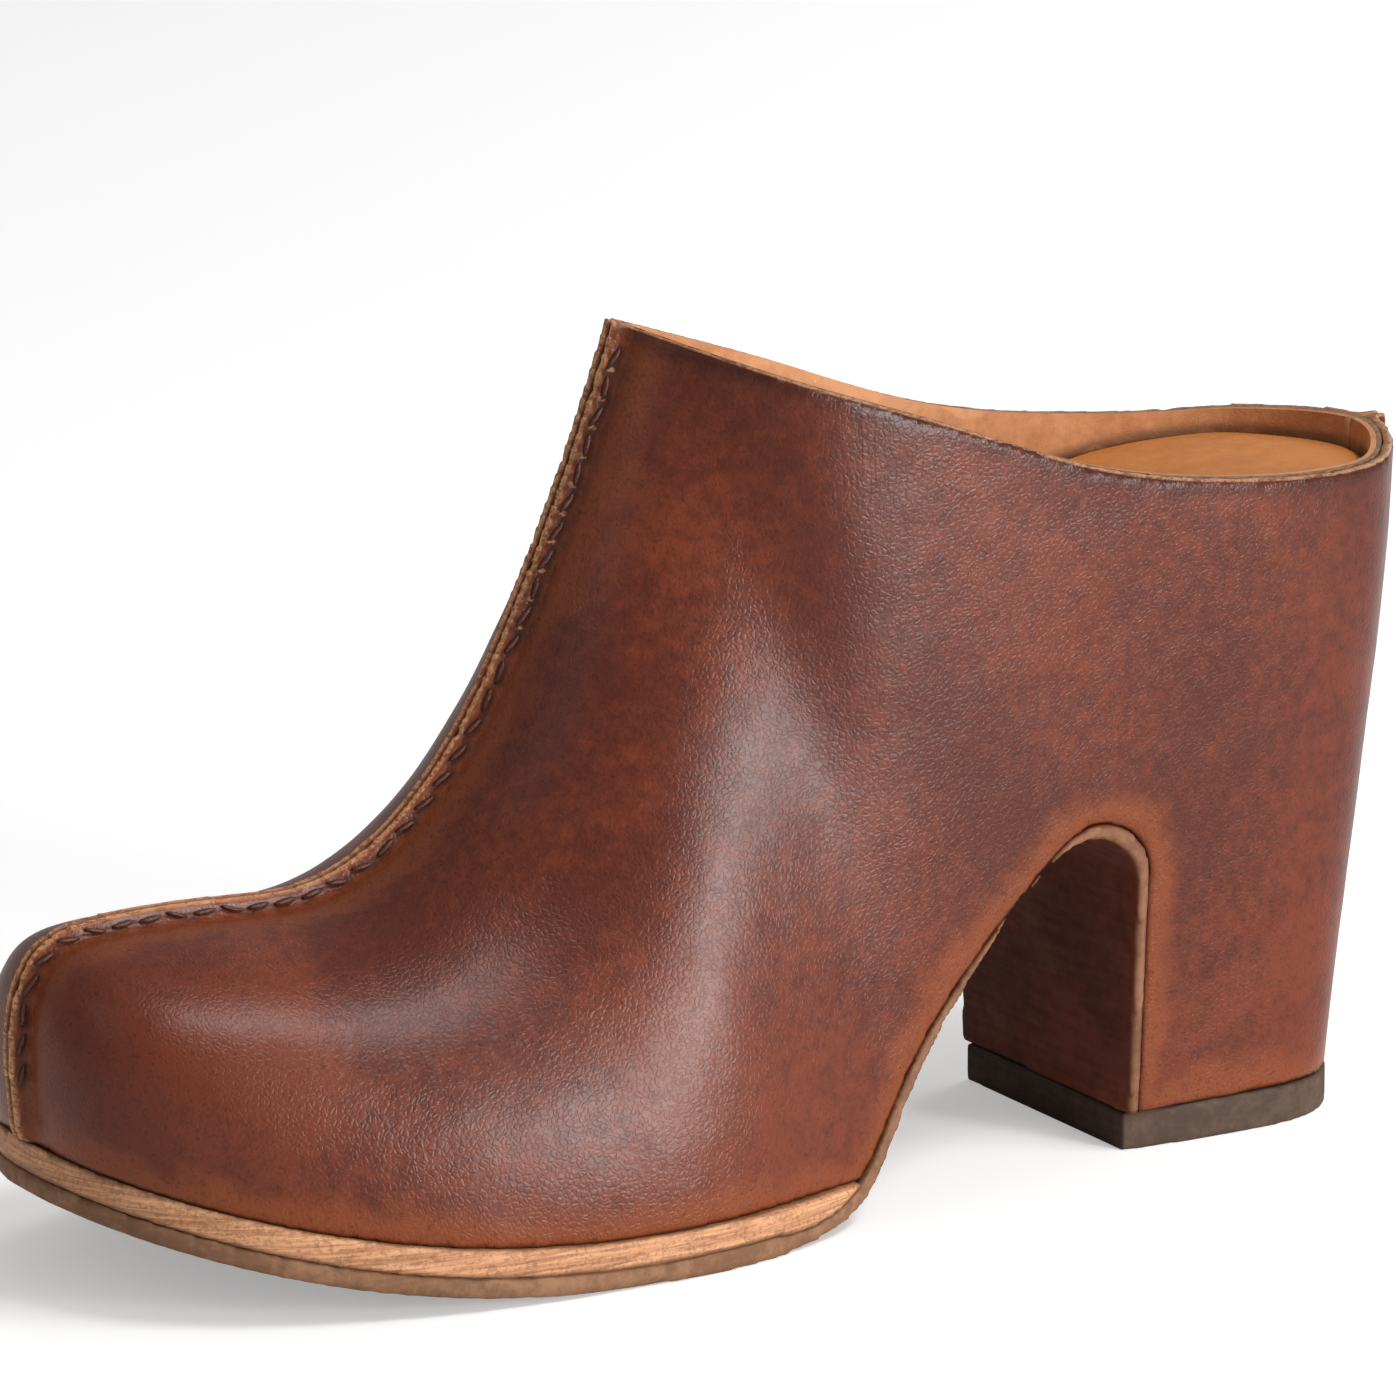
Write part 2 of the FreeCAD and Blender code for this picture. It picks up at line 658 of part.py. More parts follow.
def shank_rivets():
    rivets = []
    for x in (shank_back_x + 26.0, shank_front_x - 9.0):
        foot, square = seat_point(x)
        rivets.append(Part.makeCylinder(rivet_diameter / 2, shank_thickness + insole_board - head_sink,
                                        foot - square * shank_thickness, square))
    return Part.Compound(rivets)


def heel_screw():
    """Screw from the seat through board and shank into the wooden heel."""
    foot, square = seat_point(heel_length / 2 + 1.0)
    return headed_pin(foot, square, insole_board - head_sink, heel_screw_length, heel_screw_diameter,
                      screw_head_diameter, screw_head_height)


def heel_nails():
    """Nails from the seat into the wooden heel, round the screw."""
    nails = []
    aside = heel_half_width - heel_nail_from_side
    front_x = heel_length - heel_nail_from_breast
    for x, y in [(heel_nail_back_x, 0.0)] + pairs([(heel_nail_middle_x, aside), (front_x, aside)]):
        foot, square = seat_point(x)
        nails.append(headed_pin(foot + V(0, y, 0), square, insole_board - head_sink, nail_length,
                                nail_diameter, 2 * nail_diameter, nail_head_height))
    return Part.Compound(nails)


def top_lift_nails():
    """Nails sunk into the tread of the top lift, up into the wooden heel."""
    nails = []
    aside = heel_half_width - lift_nail_from_side
    front = (heel_length - lift_nail_from_breast, aside - lift_nail_step_in)
    for x, y in [(lift_nail_back_x, 0.0)] + pairs([(lift_nail_middle_x, aside), front]):
        nails.append(headed_pin(V(x, y, 0), V(0, 0, -1), -lift_nail_head_depth, nail_length,
                                nail_diameter, 2 * nail_diameter, nail_head_height))
    return Part.Compound(nails)


def outsole():
    """Tread of the forefoot that runs on up the arch and down the breast of the heel."""
    arch_side = between_x(heel_length - arch_cover - 1, waist_x - 7)
    forefoot_side = between_x(waist_x - 7, TOE_END)
    below = block(lines([xz(HEEL_END, -10), xz(TOE_END, -10), xz(TOE_END, 80), xz(HEEL_END, 80),
                         xz(HEEL_END, -10)]))
    slab = below.cut(above_sole()).cut(below_arch())
    slab = slab.common(between_x(heel_length - arch_cover, TOE_END))
    rear = slab.common(TRIMMED_OUTSIDE).common(arch_side)
    lift_space = Part.makeBox(90, 2 * reach, lift_height + 20, V(-10, -reach, -20))
    rear = rear.cut(between_x(0, heel_length + 1).common(lift_space))
    front = slab.common(sole_plan()).common(forefoot_side)
    return rear.fuse(front).removeSplitter()


def welt():
    """Leather layer between the upper and the outsole, with its edge showing all round."""
    layer = sole_plan().common(above_sole()).cut(above_welt())
    return layer.common(between_x(arch_peak_x + 14.0, TOE_END))


def heel_unit(hardware):
    """Wooden heel and waist in one piece, under the leather."""
    profile = above_sole().common(above_welt()).cut(above_seat(0.0))
    return HEEL_INSIDE.common(profile.common(between_x(HEEL_END, spring_start_x - 8.0))).cut(hardware)


def footbed_layer(low, high):
    return FOOT_INSIDE.common(seat_layer(low, high).common(above_welt()))


def build():
    nails, screw, lift_nails = heel_nails(), heel_screw(), top_lift_nails()
    rivets, steel = shank_rivets(), shank()
    fixings = Part.Compound([nails, screw, lift_nails, rivets])
    foam_low = insole_board
    sock_low = foam_low + footbed_foam
    for side in (OUTER, INNER):
        SHOE[side.name + "_quarter"] = quarter(side)
        SHOE[side.name + "_lining"] = quarter_lining(side)
        SHOE[side.name + "_backing"] = middle_layer(side)
    SHOE["front_seam_thread"] = seam_threads("front")
    SHOE["back_seam_thread"] = seam_threads("back")
    SHOE["toe_puff"] = toe_puff()
    SHOE["heel_counter"] = heel_counter()
    SHOE["insole_board"] = footbed_layer(0.0, insole_board).cut(fixings)
    SHOE["footbed_foam"] = footbed_layer(foam_low, sock_low)
    SHOE["sock_liner"] = footbed_layer(sock_low, sock_low + sock)
    SHOE["shank"] = steel.cut(fixings)
    SHOE["shank_rivets"] = rivets
    SHOE["heel_screw"] = screw
    SHOE["heel_nails"] = nails
    SHOE["heel_unit"] = heel_unit(Part.Compound([fixings, steel]))
    SHOE["welt"] = welt()
    SHOE["outsole"] = outsole()
    SHOE["top_lift"] = heel_plan(lift_edge, 0.0, lift_height).cut(lift_nails)
    SHOE["top_lift_nails"] = lift_nails


def export():
    """Move the whole shoe so that the centre of its box stands on the origin, and save each node."""
    box = Part.Compound(list(SHOE.values())).optimalBoundingBox(False)
    shift = V(-box.Center.x, -box.Center.y, -box.ZMin)
    os.makedirs("parts", exist_ok=True)
    for name, shape in SHOE.items():
        shape.translate(shift)
        shape.exportStep("parts/" + name + ".step")
        print(name, len(shape.Solids), shape.isValid(), round(shape.Volume), [round(c, 2) for c in shift])


if __name__ == "__main__":
    build()
    export()
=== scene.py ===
"""Visual model of a left heeled clog, in metres, in the frame of its CAD model.

Burnished leather quarters with raw turned-out seam edges, tan lining, a crowned footbed,
a fibrous leather welt over a rubber outsole, and a rubber top lift under the covered heel.
"""
import logging
import math
from dataclasses import dataclass, field
from enum import Enum
from typing import Sequence

import bmesh
import bpy
import numpy as np
from mathutils import Matrix, Vector, noise
from mathutils.bvhtree import BVHTree
from mathutils.kdtree import KDTree


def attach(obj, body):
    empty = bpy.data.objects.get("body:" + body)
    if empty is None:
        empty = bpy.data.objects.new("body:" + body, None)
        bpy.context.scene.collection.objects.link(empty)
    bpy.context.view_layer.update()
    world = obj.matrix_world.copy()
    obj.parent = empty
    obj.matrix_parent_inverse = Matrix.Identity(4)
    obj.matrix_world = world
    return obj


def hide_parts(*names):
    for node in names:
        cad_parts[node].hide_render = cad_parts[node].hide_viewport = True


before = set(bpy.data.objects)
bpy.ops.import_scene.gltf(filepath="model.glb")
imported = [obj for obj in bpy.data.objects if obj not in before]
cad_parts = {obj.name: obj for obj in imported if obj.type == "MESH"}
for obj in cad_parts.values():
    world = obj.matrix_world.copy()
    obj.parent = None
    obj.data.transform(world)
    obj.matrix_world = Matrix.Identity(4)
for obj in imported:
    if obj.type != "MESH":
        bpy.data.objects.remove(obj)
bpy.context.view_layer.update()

LOG = logging.getLogger("clog")
MM = 0.001
MERGE = 0.004 * MM
BODY = "root"
Colour = tuple[float, float, float]
Socket = bpy.types.NodeSocket
Sockets = bpy.types.bpy_prop_collection


def tint(red: int, green: int, blue: int) -> Colour:
    """Linear colour from its 0 to 255 screen values."""
    return tuple(c / 12.92 if c <= 0.04045 else ((c + 0.055) / 1.055) ** 2.4
                 for c in (red / 255, green / 255, blue / 255))


# ---- Shader wiring ----------------------------------------------------------------------
class Wiring:
    """Places and links shader nodes in one tree."""

    def __init__(self, tree: bpy.types.NodeTree) -> None:
        """Starts on an empty or a new tree."""
        self.tree = tree

    def put(self, kind: str, inputs: dict | None = None, **settings: object) -> bpy.types.Node:
        """Places one node.

        Args:
            kind: The node's type, without its ShaderNode prefix.
            inputs: Values or sockets by input name or number.
            **settings: Properties of the node itself.

        Returns:
            The new node.
        """
        node = self.tree.nodes.new("ShaderNode" + kind)
        for key, value in settings.items():
            setattr(node, key, value)
        for key, value in (inputs or {}).items():
            self.feed(node.inputs[key], value)
        return node

    def feed(self, target: Socket, value: object) -> None:
        """Links a socket to an input, or writes a constant on it."""
        if isinstance(value, bpy.types.NodeSocket):
            self.tree.links.new(value, target)
        elif target.type == "RGBA" and len(value) == 3:
            target.default_value = (*value, 1.0)
        else:
            target.default_value = value

    def math(self, operation: str, a: object, b: object = 0.0) -> Socket:
        """One Math node's result."""
        return self.put("Math", {0: a, 1: b}, operation=operation).outputs[0]

    def ramp(self, value: object, low: float, high: float, start: float = 0.0,
             end: float = 1.0) -> Socket:
        """Smooth step from start, at low, to end, at high."""
        inputs = {"Value": value, "From Min": low, "From Max": high,
                  "To Min": start, "To Max": end}
        return self.put("MapRange", inputs, interpolation_type="SMOOTHSTEP").outputs["Result"]

    def mix(self, factor: object, a: object, b: object) -> Socket:
        """Colour between a and b."""
        node = self.put("Mix", data_type="RGBA")
        for name, value in (("Factor_Float", factor), ("A_Color", a), ("B_Color", b)):
            self.feed(next(s for s in node.inputs if s.identifier == name), value)
        return next(s for s in node.outputs if s.identifier == "Result_Color")

    def noise(self, vector: Socket, scale: object, detail: float = 3.0, roughness: float = 0.55,
              distortion: float = 0.0) -> Socket:
        """Cloudy value from 0 to 1."""
        inputs = {"Vector": vector, "Scale": scale, "Detail": detail, "Roughness": roughness,
                  "Distortion": distortion}
        return self.put("TexNoise", inputs).outputs["Fac"]

    def stretched(self, vector: Socket, scale: Sequence[float]) -> Socket:
        """Coordinates stretched along their axes."""
        return self.put("Mapping", {"Vector": vector, "Scale": tuple(scale)}).outputs[0]

    def place(self) -> Socket:
        """Object coordinates, in metres."""
        return self.put("TexCoord").outputs["Object"]

    def mark(self, name: str) -> Socket:
        """Value of a piece's own attribute."""
        return self.put("Attribute", attribute_name=name).outputs["Fac"]

    def group(self, name: str, inputs: dict) -> bpy.types.Node:
        """Places a shared node group with this material's own values."""
        node = self.put("Group", node_tree=bpy.data.node_groups[name])
        for key, value in inputs.items():
            self.feed(node.inputs[key], value)
        return node


class SharedEffects:
    """The node groups that several finishes use."""

    @staticmethod
    def new_tree(name: str, inputs: dict,
                 outputs: Sequence[str]) -> tuple[Wiring, Sockets, Sockets]:
        """Starts a node group.

        Args:
            name: The group's name.
            inputs: Defaults by name, numbers or colours.
            outputs: Names of its results. One called Color is a colour, the rest are numbers.

        Returns:
            The wiring of the group, the sockets that it is given and those that it makes.
        """
        tree = bpy.data.node_groups.new(name, "ShaderNodeTree")
        for key, value in inputs.items():
            kind = "NodeSocketFloat" if isinstance(value, float) else "NodeSocketColor"
            socket = tree.interface.new_socket(key, in_out="INPUT", socket_type=kind)
            socket.default_value = value if isinstance(value, float) else (*value, 1.0)
        for key in outputs:
            kind = "NodeSocketColor" if key == "Color" else "NodeSocketFloat"
            tree.interface.new_socket(key, in_out="OUTPUT", socket_type=kind)
        given = tree.nodes.new("NodeGroupInput").outputs
        made = tree.nodes.new("NodeGroupOutput").inputs
        return Wiring(tree), given, made

    @classmethod
    def patchy_tone(cls) -> None:
        """Two colours in cloudy patches, with fine mottling."""
        w, given, made = cls.new_tree("patchy_tone", {"Dark": (0.1, 0.05, 0.03),
                                                      "Light": (0.3, 0.15, 0.1),
                                                      "Scale": 30.0, "Mottle": 0.3}, ["Color"])
        cloud = w.noise(w.place(), given["Scale"], 4.0, 0.6, 0.5)
        fine = w.math("SUBTRACT", w.noise(w.place(), 420.0, 3.0, 0.7), 0.5)
        spread = w.math("ADD", cloud, w.math("MULTIPLY", fine, given["Mottle"]))
        w.feed(made["Color"], w.mix(w.ramp(spread, 0.32, 0.68), given["Dark"], given["Light"]))

    @classmethod
    def pebble_grain(cls) -> None:
        """Fine leather grain: small rounded cells with creases between them and pores."""
        w, given, made = cls.new_tree("pebble_grain", {"Cells": 900.0, "Softness": 0.5},
                                      ["Height", "Pores"])
        place = w.place()
        warp = w.put("TexNoise", {"Vector": place, "Scale": 260.0, "Detail": 2.0})
        shift = w.put("VectorMath", {0: warp.outputs["Color"], "Scale": 0.0016}, operation="SCALE")
        shifted = w.put("VectorMath", {0: place, 1: shift.outputs[0]})
        cells = w.put("TexVoronoi", {"Vector": shifted.outputs[0], "Scale": given["Cells"]},
                      feature="DISTANCE_TO_EDGE")
        rounded = w.ramp(cells.outputs["Distance"], 0.0, 0.28)
        fine = w.noise(place, 2600.0, 3.0, 0.6)
        w.feed(made["Height"], w.math("ADD", w.math("MULTIPLY", rounded, given["Softness"]),
                                      w.math("MULTIPLY", fine, 0.5)))
        w.feed(made["Pores"], w.ramp(w.noise(place, 1500.0, 2.0, 0.5), 0.56, 0.70))

    @classmethod
    def worn_band(cls) -> None:
        """Mask that fades out with distance, broken up by noise."""
        w, given, made = cls.new_tree("worn_band", {"Distance": 1.0, "Width": 0.004,
                                                    "Breakup": 0.5}, ["Mask"])
        share = w.math("DIVIDE", given["Distance"], given["Width"])
        uneven = w.math("SUBTRACT", w.noise(w.place(), 110.0, 4.0, 0.65), 0.5)
        broken = w.math("MULTIPLY", w.math("MULTIPLY", uneven, given["Breakup"]), 2.0)
        w.feed(made["Mask"], w.ramp(w.math("ADD", share, broken), 0.35, 1.15, 1.0, 0.0))

    @classmethod
    def cut_fibres(cls) -> None:
        """Fibrous cut edge of leather: short streaks along the edge, with dark pits."""
        w, given, made = cls.new_tree("cut_fibres", {"Coarseness": 1.0}, ["Height", "Pits"])
        place = w.put("VectorMath", {0: w.place(), "Scale": given["Coarseness"]},
                      operation="SCALE").outputs[0]
        streaks = w.noise(w.stretched(place, (260.0, 260.0, 2200.0)), 1.0, 4.0, 0.7, 0.3)
        specks = w.noise(place, 1900.0, 3.0, 0.7)
        w.feed(made["Height"], w.math("ADD", w.math("MULTIPLY", streaks, 0.7),
                                      w.math("MULTIPLY", specks, 0.5)))
        w.feed(made["Pits"], w.ramp(w.math("MULTIPLY", streaks, specks), 0.17, 0.27, 1.0, 0.0))

    @classmethod
    def build_all(cls) -> None:
        """Builds every group once."""
        for make in (cls.patchy_tone, cls.pebble_grain, cls.worn_band, cls.cut_fibres):
            make()


# ---- Finishes ---------------------------------------------------------------------------
def start_material(name: str) -> tuple[bpy.types.Material, Wiring, bpy.types.Node]:
    """New material with its wiring and its Principled shader."""
    material = bpy.data.materials.new(name)
    material.use_nodes = True
    shader = next(n for n in material.node_tree.nodes if n.type == "BSDF_PRINCIPLED")
    return material, Wiring(material.node_tree), shader


def add_bump(w: Wiring, shader: bpy.types.Node, height: Socket, strength: float,
             distance: float) -> None:
    """Feeds a height into the shader's normal."""
    bump = w.put("Bump", {"Height": height, "Strength": strength, "Distance": distance})
    w.feed(shader.inputs["Normal"], bump.outputs[0])


def set_gloss(shader: bpy.types.Node, level: float) -> None:
    """Sets how strongly the surface mirrors its surroundings."""
    shader.inputs["Specular IOR Level"].default_value = level


@dataclass(frozen=True)
class BurnishedLeather:
    """Waxed leather of the quarters: dark burnish, amber where it is rubbed, raw at its cuts.

    Lengths are in metres. The marks are distances: foot from the bottom, seam from the ridge,
    rim from the cut topline, bite from the stitches. raw is 1 on the ridge's cut edge.
    """

    deep: Colour = tint(83, 35, 23)
    warm: Colour = tint(112, 51, 30)
    amber: Colour = tint(130, 65, 32)
    shadow: Colour = tint(36, 15, 10)
    raw: Colour = tint(214, 156, 110)
    raw_dark: Colour = tint(134, 84, 55)
    patch_scale: float = 19.0
    mottle: float = 0.62
    # the tone darkens towards the toe tip and the back of the heel
    toe_darkening: tuple[float, float] = (0.078, 0.114)
    heel_darkening: tuple[float, float] = (-0.112, -0.092)
    foot_band: float = 0.0062
    seam_band: float = 0.0075
    breakup: float = 0.9
    creased: tuple[float, float] = (0.006, 0.034)
    crease_stretch: tuple[float, float, float] = (620.0, 620.0, 75.0)
    crease_height: float = 2.4
    fibre_height: float = 2.2
    bump: float = 0.38
    bump_depth: float = 0.00020
    roughness: float = 0.27
    raw_roughness: float = 0.42
    gloss: float = 0.22
    coat: float = 0.10
    coat_roughness: float = 0.28

    def tone_with_dark_ends(self, w: Wiring) -> Socket:
        """Cloudy tone, darker towards the toe tip and the back of the heel."""
        tone = w.group("patchy_tone", {"Dark": self.deep, "Light": self.warm,
                                       "Scale": self.patch_scale, "Mottle": self.mottle})
        along = w.put("SeparateXYZ", {0: w.place()}).outputs[0]
        end_darkening = w.math("MAXIMUM", w.ramp(along, *self.toe_darkening, 0.0, 0.45),
                       w.ramp(along, *self.heel_darkening, 0.35, 0.0))
        return w.mix(end_darkening, tone.outputs["Color"], self.deep)

    def rubbed(self, w: Wiring) -> Socket:
        """Mask of the amber bands along the bottom and along the seams."""
        low, ridge = (w.group("worn_band", {"Distance": w.mark(mark), "Width": width,
                                            "Breakup": self.breakup}).outputs["Mask"]
                      for mark, width in (("foot", self.foot_band), ("seam", self.seam_band)))
        return w.math("MAXIMUM", w.math("MULTIPLY", low, 0.8), w.math("MULTIPLY", ridge, 0.6))

    def shaded(self, w: Wiring, colour: Socket, pores: Socket) -> Socket:
        """Colour darkened towards the shadow colour in the pores and below the topline, with
        painted shade in the crease along the bottom and painted shadow round the stitches.
        """
        # towards the shadow colour: pores and below the topline, then painted shade along the
        # bottom and painted shadow round the stitches
        for mask in (w.math("MULTIPLY", pores, 0.35),
                     w.math("MULTIPLY", w.ramp(w.mark("rim"), 0.0006, 0.004, 1.0, 0.0), 0.55),
                     w.ramp(w.mark("foot"), 0.0001, 0.0008, 0.7, 0.0),
                     w.ramp(w.mark("bite"), 0.0004, 0.0014, 0.6, 0.0)):
            colour = w.mix(mask, colour, self.shadow)
        return colour

    def creases(self, w: Wiring) -> Socket:
        """Fine upright creases in patches below the topline."""
        lines = w.noise(w.stretched(w.place(), self.crease_stretch), 1.0, 3.0, 0.6, 0.6)
        patches = w.ramp(w.noise(w.place(), 38.0, 2.0), 0.40, 0.62)
        near = w.math("MULTIPLY", w.ramp(w.mark("rim"), *self.creased, 1.0, 0.0), patches)
        return w.math("MULTIPLY", w.math("MULTIPLY", lines, near), self.crease_height)

    def build(self) -> bpy.types.Material:
        """Makes the material."""
        material, w, shader = start_material("burnished_leather")
        grain = w.group("pebble_grain", {"Cells": 1080.0, "Softness": 0.42})
        fibres = w.group("cut_fibres", {"Coarseness": 1.0})
        colour = w.mix(self.rubbed(w), self.tone_with_dark_ends(w), self.amber)
        colour = self.shaded(w, colour, grain.outputs["Pores"])
        topline = w.ramp(w.mark("rim"), 0.00025, 0.00055, 0.5, 0.0)
        bare = w.math("MAXIMUM", w.mark("raw"), topline)
        bare_colour = w.mix(fibres.outputs["Pits"], self.raw, self.raw_dark)
        w.feed(shader.inputs["Base Color"], w.mix(bare, colour, bare_colour))
        rough = w.math("ADD", self.roughness, w.math("MULTIPLY", w.noise(w.place(), 60.0), 0.14))
        w.feed(shader.inputs["Roughness"],
               w.math("ADD", rough, w.math("MULTIPLY", bare, self.raw_roughness)))
        skin = w.math("ADD", grain.outputs["Height"], self.creases(w))
        skin = w.math("MULTIPLY", skin, w.math("SUBTRACT", 1.0, bare))
        cut = w.math("MULTIPLY", w.math("MULTIPLY", fibres.outputs["Height"], bare),
                     self.fibre_height)
        add_bump(w, shader, w.math("ADD", skin, cut), self.bump, self.bump_depth)
        set_gloss(shader, self.gloss)
        shader.inputs["Coat Weight"].default_value = self.coat
        shader.inputs["Coat Roughness"].default_value = self.coat_roughness
        return material


@dataclass(frozen=True)
class SmoothLeather:
    """Plain tan leather, for the lining and the sock: faint grain, with painted shade where it
    meets another piece.
    """

    name: str
    light: Colour
    dark: Colour
    roughness: float
    grain: float
    joint_shade: float = 0.28
    gloss: float = 0.28

    def build(self) -> bpy.types.Material:
        """Makes the material."""
        material, w, shader = start_material(self.name)
        tone = w.group("patchy_tone", {"Dark": self.dark, "Light": self.light, "Scale": 34.0,
                                       "Mottle": 0.5})
        grain = w.group("pebble_grain", {"Cells": 1500.0, "Softness": 0.4})
        pores = w.math("MULTIPLY", grain.outputs["Pores"], 0.22)
        colour = w.mix(pores, tone.outputs["Color"], self.dark)
        # painted shade in the corner where this leather meets the next piece
        near = w.ramp(w.mark("contact_shade_gap"), 0.0002, 0.0022, 0.8, 0.0)
        colour = w.mix(near, colour, tuple(c * self.joint_shade for c in self.dark))
        w.feed(shader.inputs["Base Color"], colour)
        w.feed(shader.inputs["Roughness"], w.ramp(w.noise(w.place(), 80.0), 0.3, 0.7,
                                                  self.roughness, self.roughness + 0.12))
        add_bump(w, shader, grain.outputs["Height"], self.grain, 0.00014)
        set_gloss(shader, self.gloss)
        return material


@dataclass(frozen=True)
class WeltEdge:
    """Cut edge of sole leather: long streaks like wood grain, darker pits, and painted shade where
    it meets the upper and the outsole.
    """

    light: Colour = tint(216, 160, 118)
    dark: Colour = tint(176, 122, 85)
    pit_and_shade: Colour = tint(88, 54, 35)
    gloss: float = 0.3

    def build(self) -> bpy.types.Material:
        """Makes the material."""
        material, w, shader = start_material("welt_leather_edge")
        layers = w.noise(w.stretched(w.place(), (60.0, 60.0, 1500.0)), 1.0, 4.0, 0.65, 0.5)
        fibres = w.group("cut_fibres", {"Coarseness": 0.75})
        colour = w.mix(w.ramp(layers, 0.36, 0.62), self.dark, self.light)
        colour = w.mix(w.math("MULTIPLY", fibres.outputs["Pits"], 0.42), colour, self.pit_and_shade)
        # painted shade where the welt meets the upper and the outsole
        colour = w.mix(w.ramp(w.mark("contact_shade_gap"), 0.0001, 0.0010, 0.6, 0.0), colour, self.pit_and_shade)
        w.feed(shader.inputs["Base Color"], colour)
        w.feed(shader.inputs["Roughness"], w.ramp(layers, 0.3, 0.7, 0.52, 0.72))
        height = w.math("ADD", layers, w.math("MULTIPLY", fibres.outputs["Height"], 0.8))
        add_bump(w, shader, height, 0.5, 0.00026)
        set_gloss(shader, self.gloss)
        return material


@dataclass(frozen=True)
class Rubber:
    """Moulded rubber: dull, with fine stipple, and in the cover colour where the cover mark is 1:
    the reddish breast of the outsole with painted shade on it, and painted shade on the top lift.
    """

    name: str
    light: Colour
    dark: Colour
    cover_and_shade: Colour
    cover_shade: float = 0.6
    stipple: float = 0.35
    gloss: float = 0.25

    def build(self) -> bpy.types.Material:
        """Makes the material."""
        material, w, shader = start_material(self.name)
        tone = w.group("patchy_tone", {"Dark": self.dark, "Light": self.light, "Scale": 40.0,
                                       "Mottle": 0.9})
        streaks = w.noise(w.stretched(w.place(), (90.0, 90.0, 900.0)), 1.0, 3.0, 0.6)
        colour = w.mix(w.ramp(streaks, 0.45, 0.75, 0.0, 0.5), tone.outputs["Color"], self.light)
        deep = w.group("patchy_tone", {"Dark": tuple(c * self.cover_shade for c in self.cover_and_shade),
                                       "Light": self.cover_and_shade, "Scale": 60.0, "Mottle": 0.6})
        # cover colour: the breast's own reddish tone with painted shade on the outsole, painted
        # shade on the top lift
        colour = w.mix(w.mark("cover_and_shade"), colour, deep.outputs["Color"])
        w.feed(shader.inputs["Base Color"], colour)
        w.feed(shader.inputs["Roughness"], w.ramp(streaks, 0.3, 0.7, 0.62, 0.82))
        height = w.math("ADD", w.noise(w.place(), 1600.0, 3.0, 0.6),
                        w.math("MULTIPLY", streaks, 0.5))
        add_bump(w, shader, height, self.stipple, 0.0002)
        set_gloss(shader, self.gloss)
        return material


class Stock(Enum):
    """Raw materials of the pieces inside the shoe: streak scales, bump and metalness."""

    CLOTH = ((2400.0, 2400.0, 2400.0), 0.6, 0.0)
    FOAM = ((1300.0, 1300.0, 1300.0), 0.7, 0.0)
    BOARD = ((500.0, 900.0, 1800.0), 0.4, 0.0)
    WOOD = ((24.0, 420.0, 420.0), 0.3, 0.0)
    STEEL = ((90.0, 2200.0, 2200.0), 0.15, 1.0)
    THREAD = ((1500.0, 3500.0, 1500.0), 0.7, 0.0)


@dataclass(frozen=True)
class StockFinish:
    """One raw material: two tones in streaks or specks, with the same pattern in its bump."""

    name: str
    stock: Stock
    light: Colour
    dark: Colour
    roughness: float

    def build(self) -> bpy.types.Material:
        """Makes the material."""
        material, w, shader = start_material(self.name)
        stretch, bump, metal = self.stock.value
        streaks = w.noise(w.stretched(w.place(), stretch), 1.0, 4.0, 0.65, 0.3)
        tone = w.mix(w.ramp(streaks, 0.35, 0.65), self.dark, self.light)
        w.feed(shader.inputs["Base Color"], tone)
        w.feed(shader.inputs["Roughness"], w.ramp(streaks, 0.3, 0.7, self.roughness - 0.08,
                                                  self.roughness + 0.08))
        shader.inputs["Metallic"].default_value = metal
        add_bump(w, shader, streaks, bump, 0.0002)
        return material


# ---- Shapes from the frame --------------------------------------------------------------
def cad_copy(*nodes: str) -> bmesh.types.BMesh:
    """One bmesh of these CAD nodes, with their separate triangles joined up."""
    bm = bmesh.new()
    for node in nodes:
        bm.from_mesh(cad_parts[node].data)
    bmesh.ops.remove_doubles(bm, verts=bm.verts, dist=MERGE)
    return bm


def to_mesh(bm: bmesh.types.BMesh, name: str) -> bpy.types.Mesh:
    """Turns a bmesh into a mesh and frees it."""
    mesh = bpy.data.meshes.new(name)
    bm.to_mesh(mesh)
    bm.free()
    return mesh


def points_of(mesh: bpy.types.Mesh) -> np.ndarray:
    """Vertex places, one row each."""
    flat = np.empty(len(mesh.vertices) * 3, dtype=np.float32)
    mesh.vertices.foreach_get("co", flat)
    return flat.reshape(-1, 3).astype(float)


def normals_of(mesh: bpy.types.Mesh) -> np.ndarray:
    """Vertex normals, one row each."""
    flat = np.empty(len(mesh.vertices) * 3, dtype=np.float32)
    mesh.vertex_normals.foreach_get("vector", flat)
    return flat.reshape(-1, 3).astype(float)


def write_points(mesh: bpy.types.Mesh, points: np.ndarray) -> None:
    """Moves every vertex to its row of points."""
    mesh.vertices.foreach_set("co", points.astype(np.float32).ravel())
    mesh.update()


def write_mark(mesh: bpy.types.Mesh, name: str, values: np.ndarray) -> None:
    """Stores one number per vertex for the materials."""
    mesh.attributes.new(name, "FLOAT", "POINT").data.foreach_set("value", values.astype(np.float32))


def smooth_step(values: np.ndarray, low: float, high: float) -> np.ndarray:
    """0 below low, 1 above high, smooth between."""
    share = np.clip((values - low) / (high - low), 0.0, 1.0)
    return share * share * (3 - 2 * share)


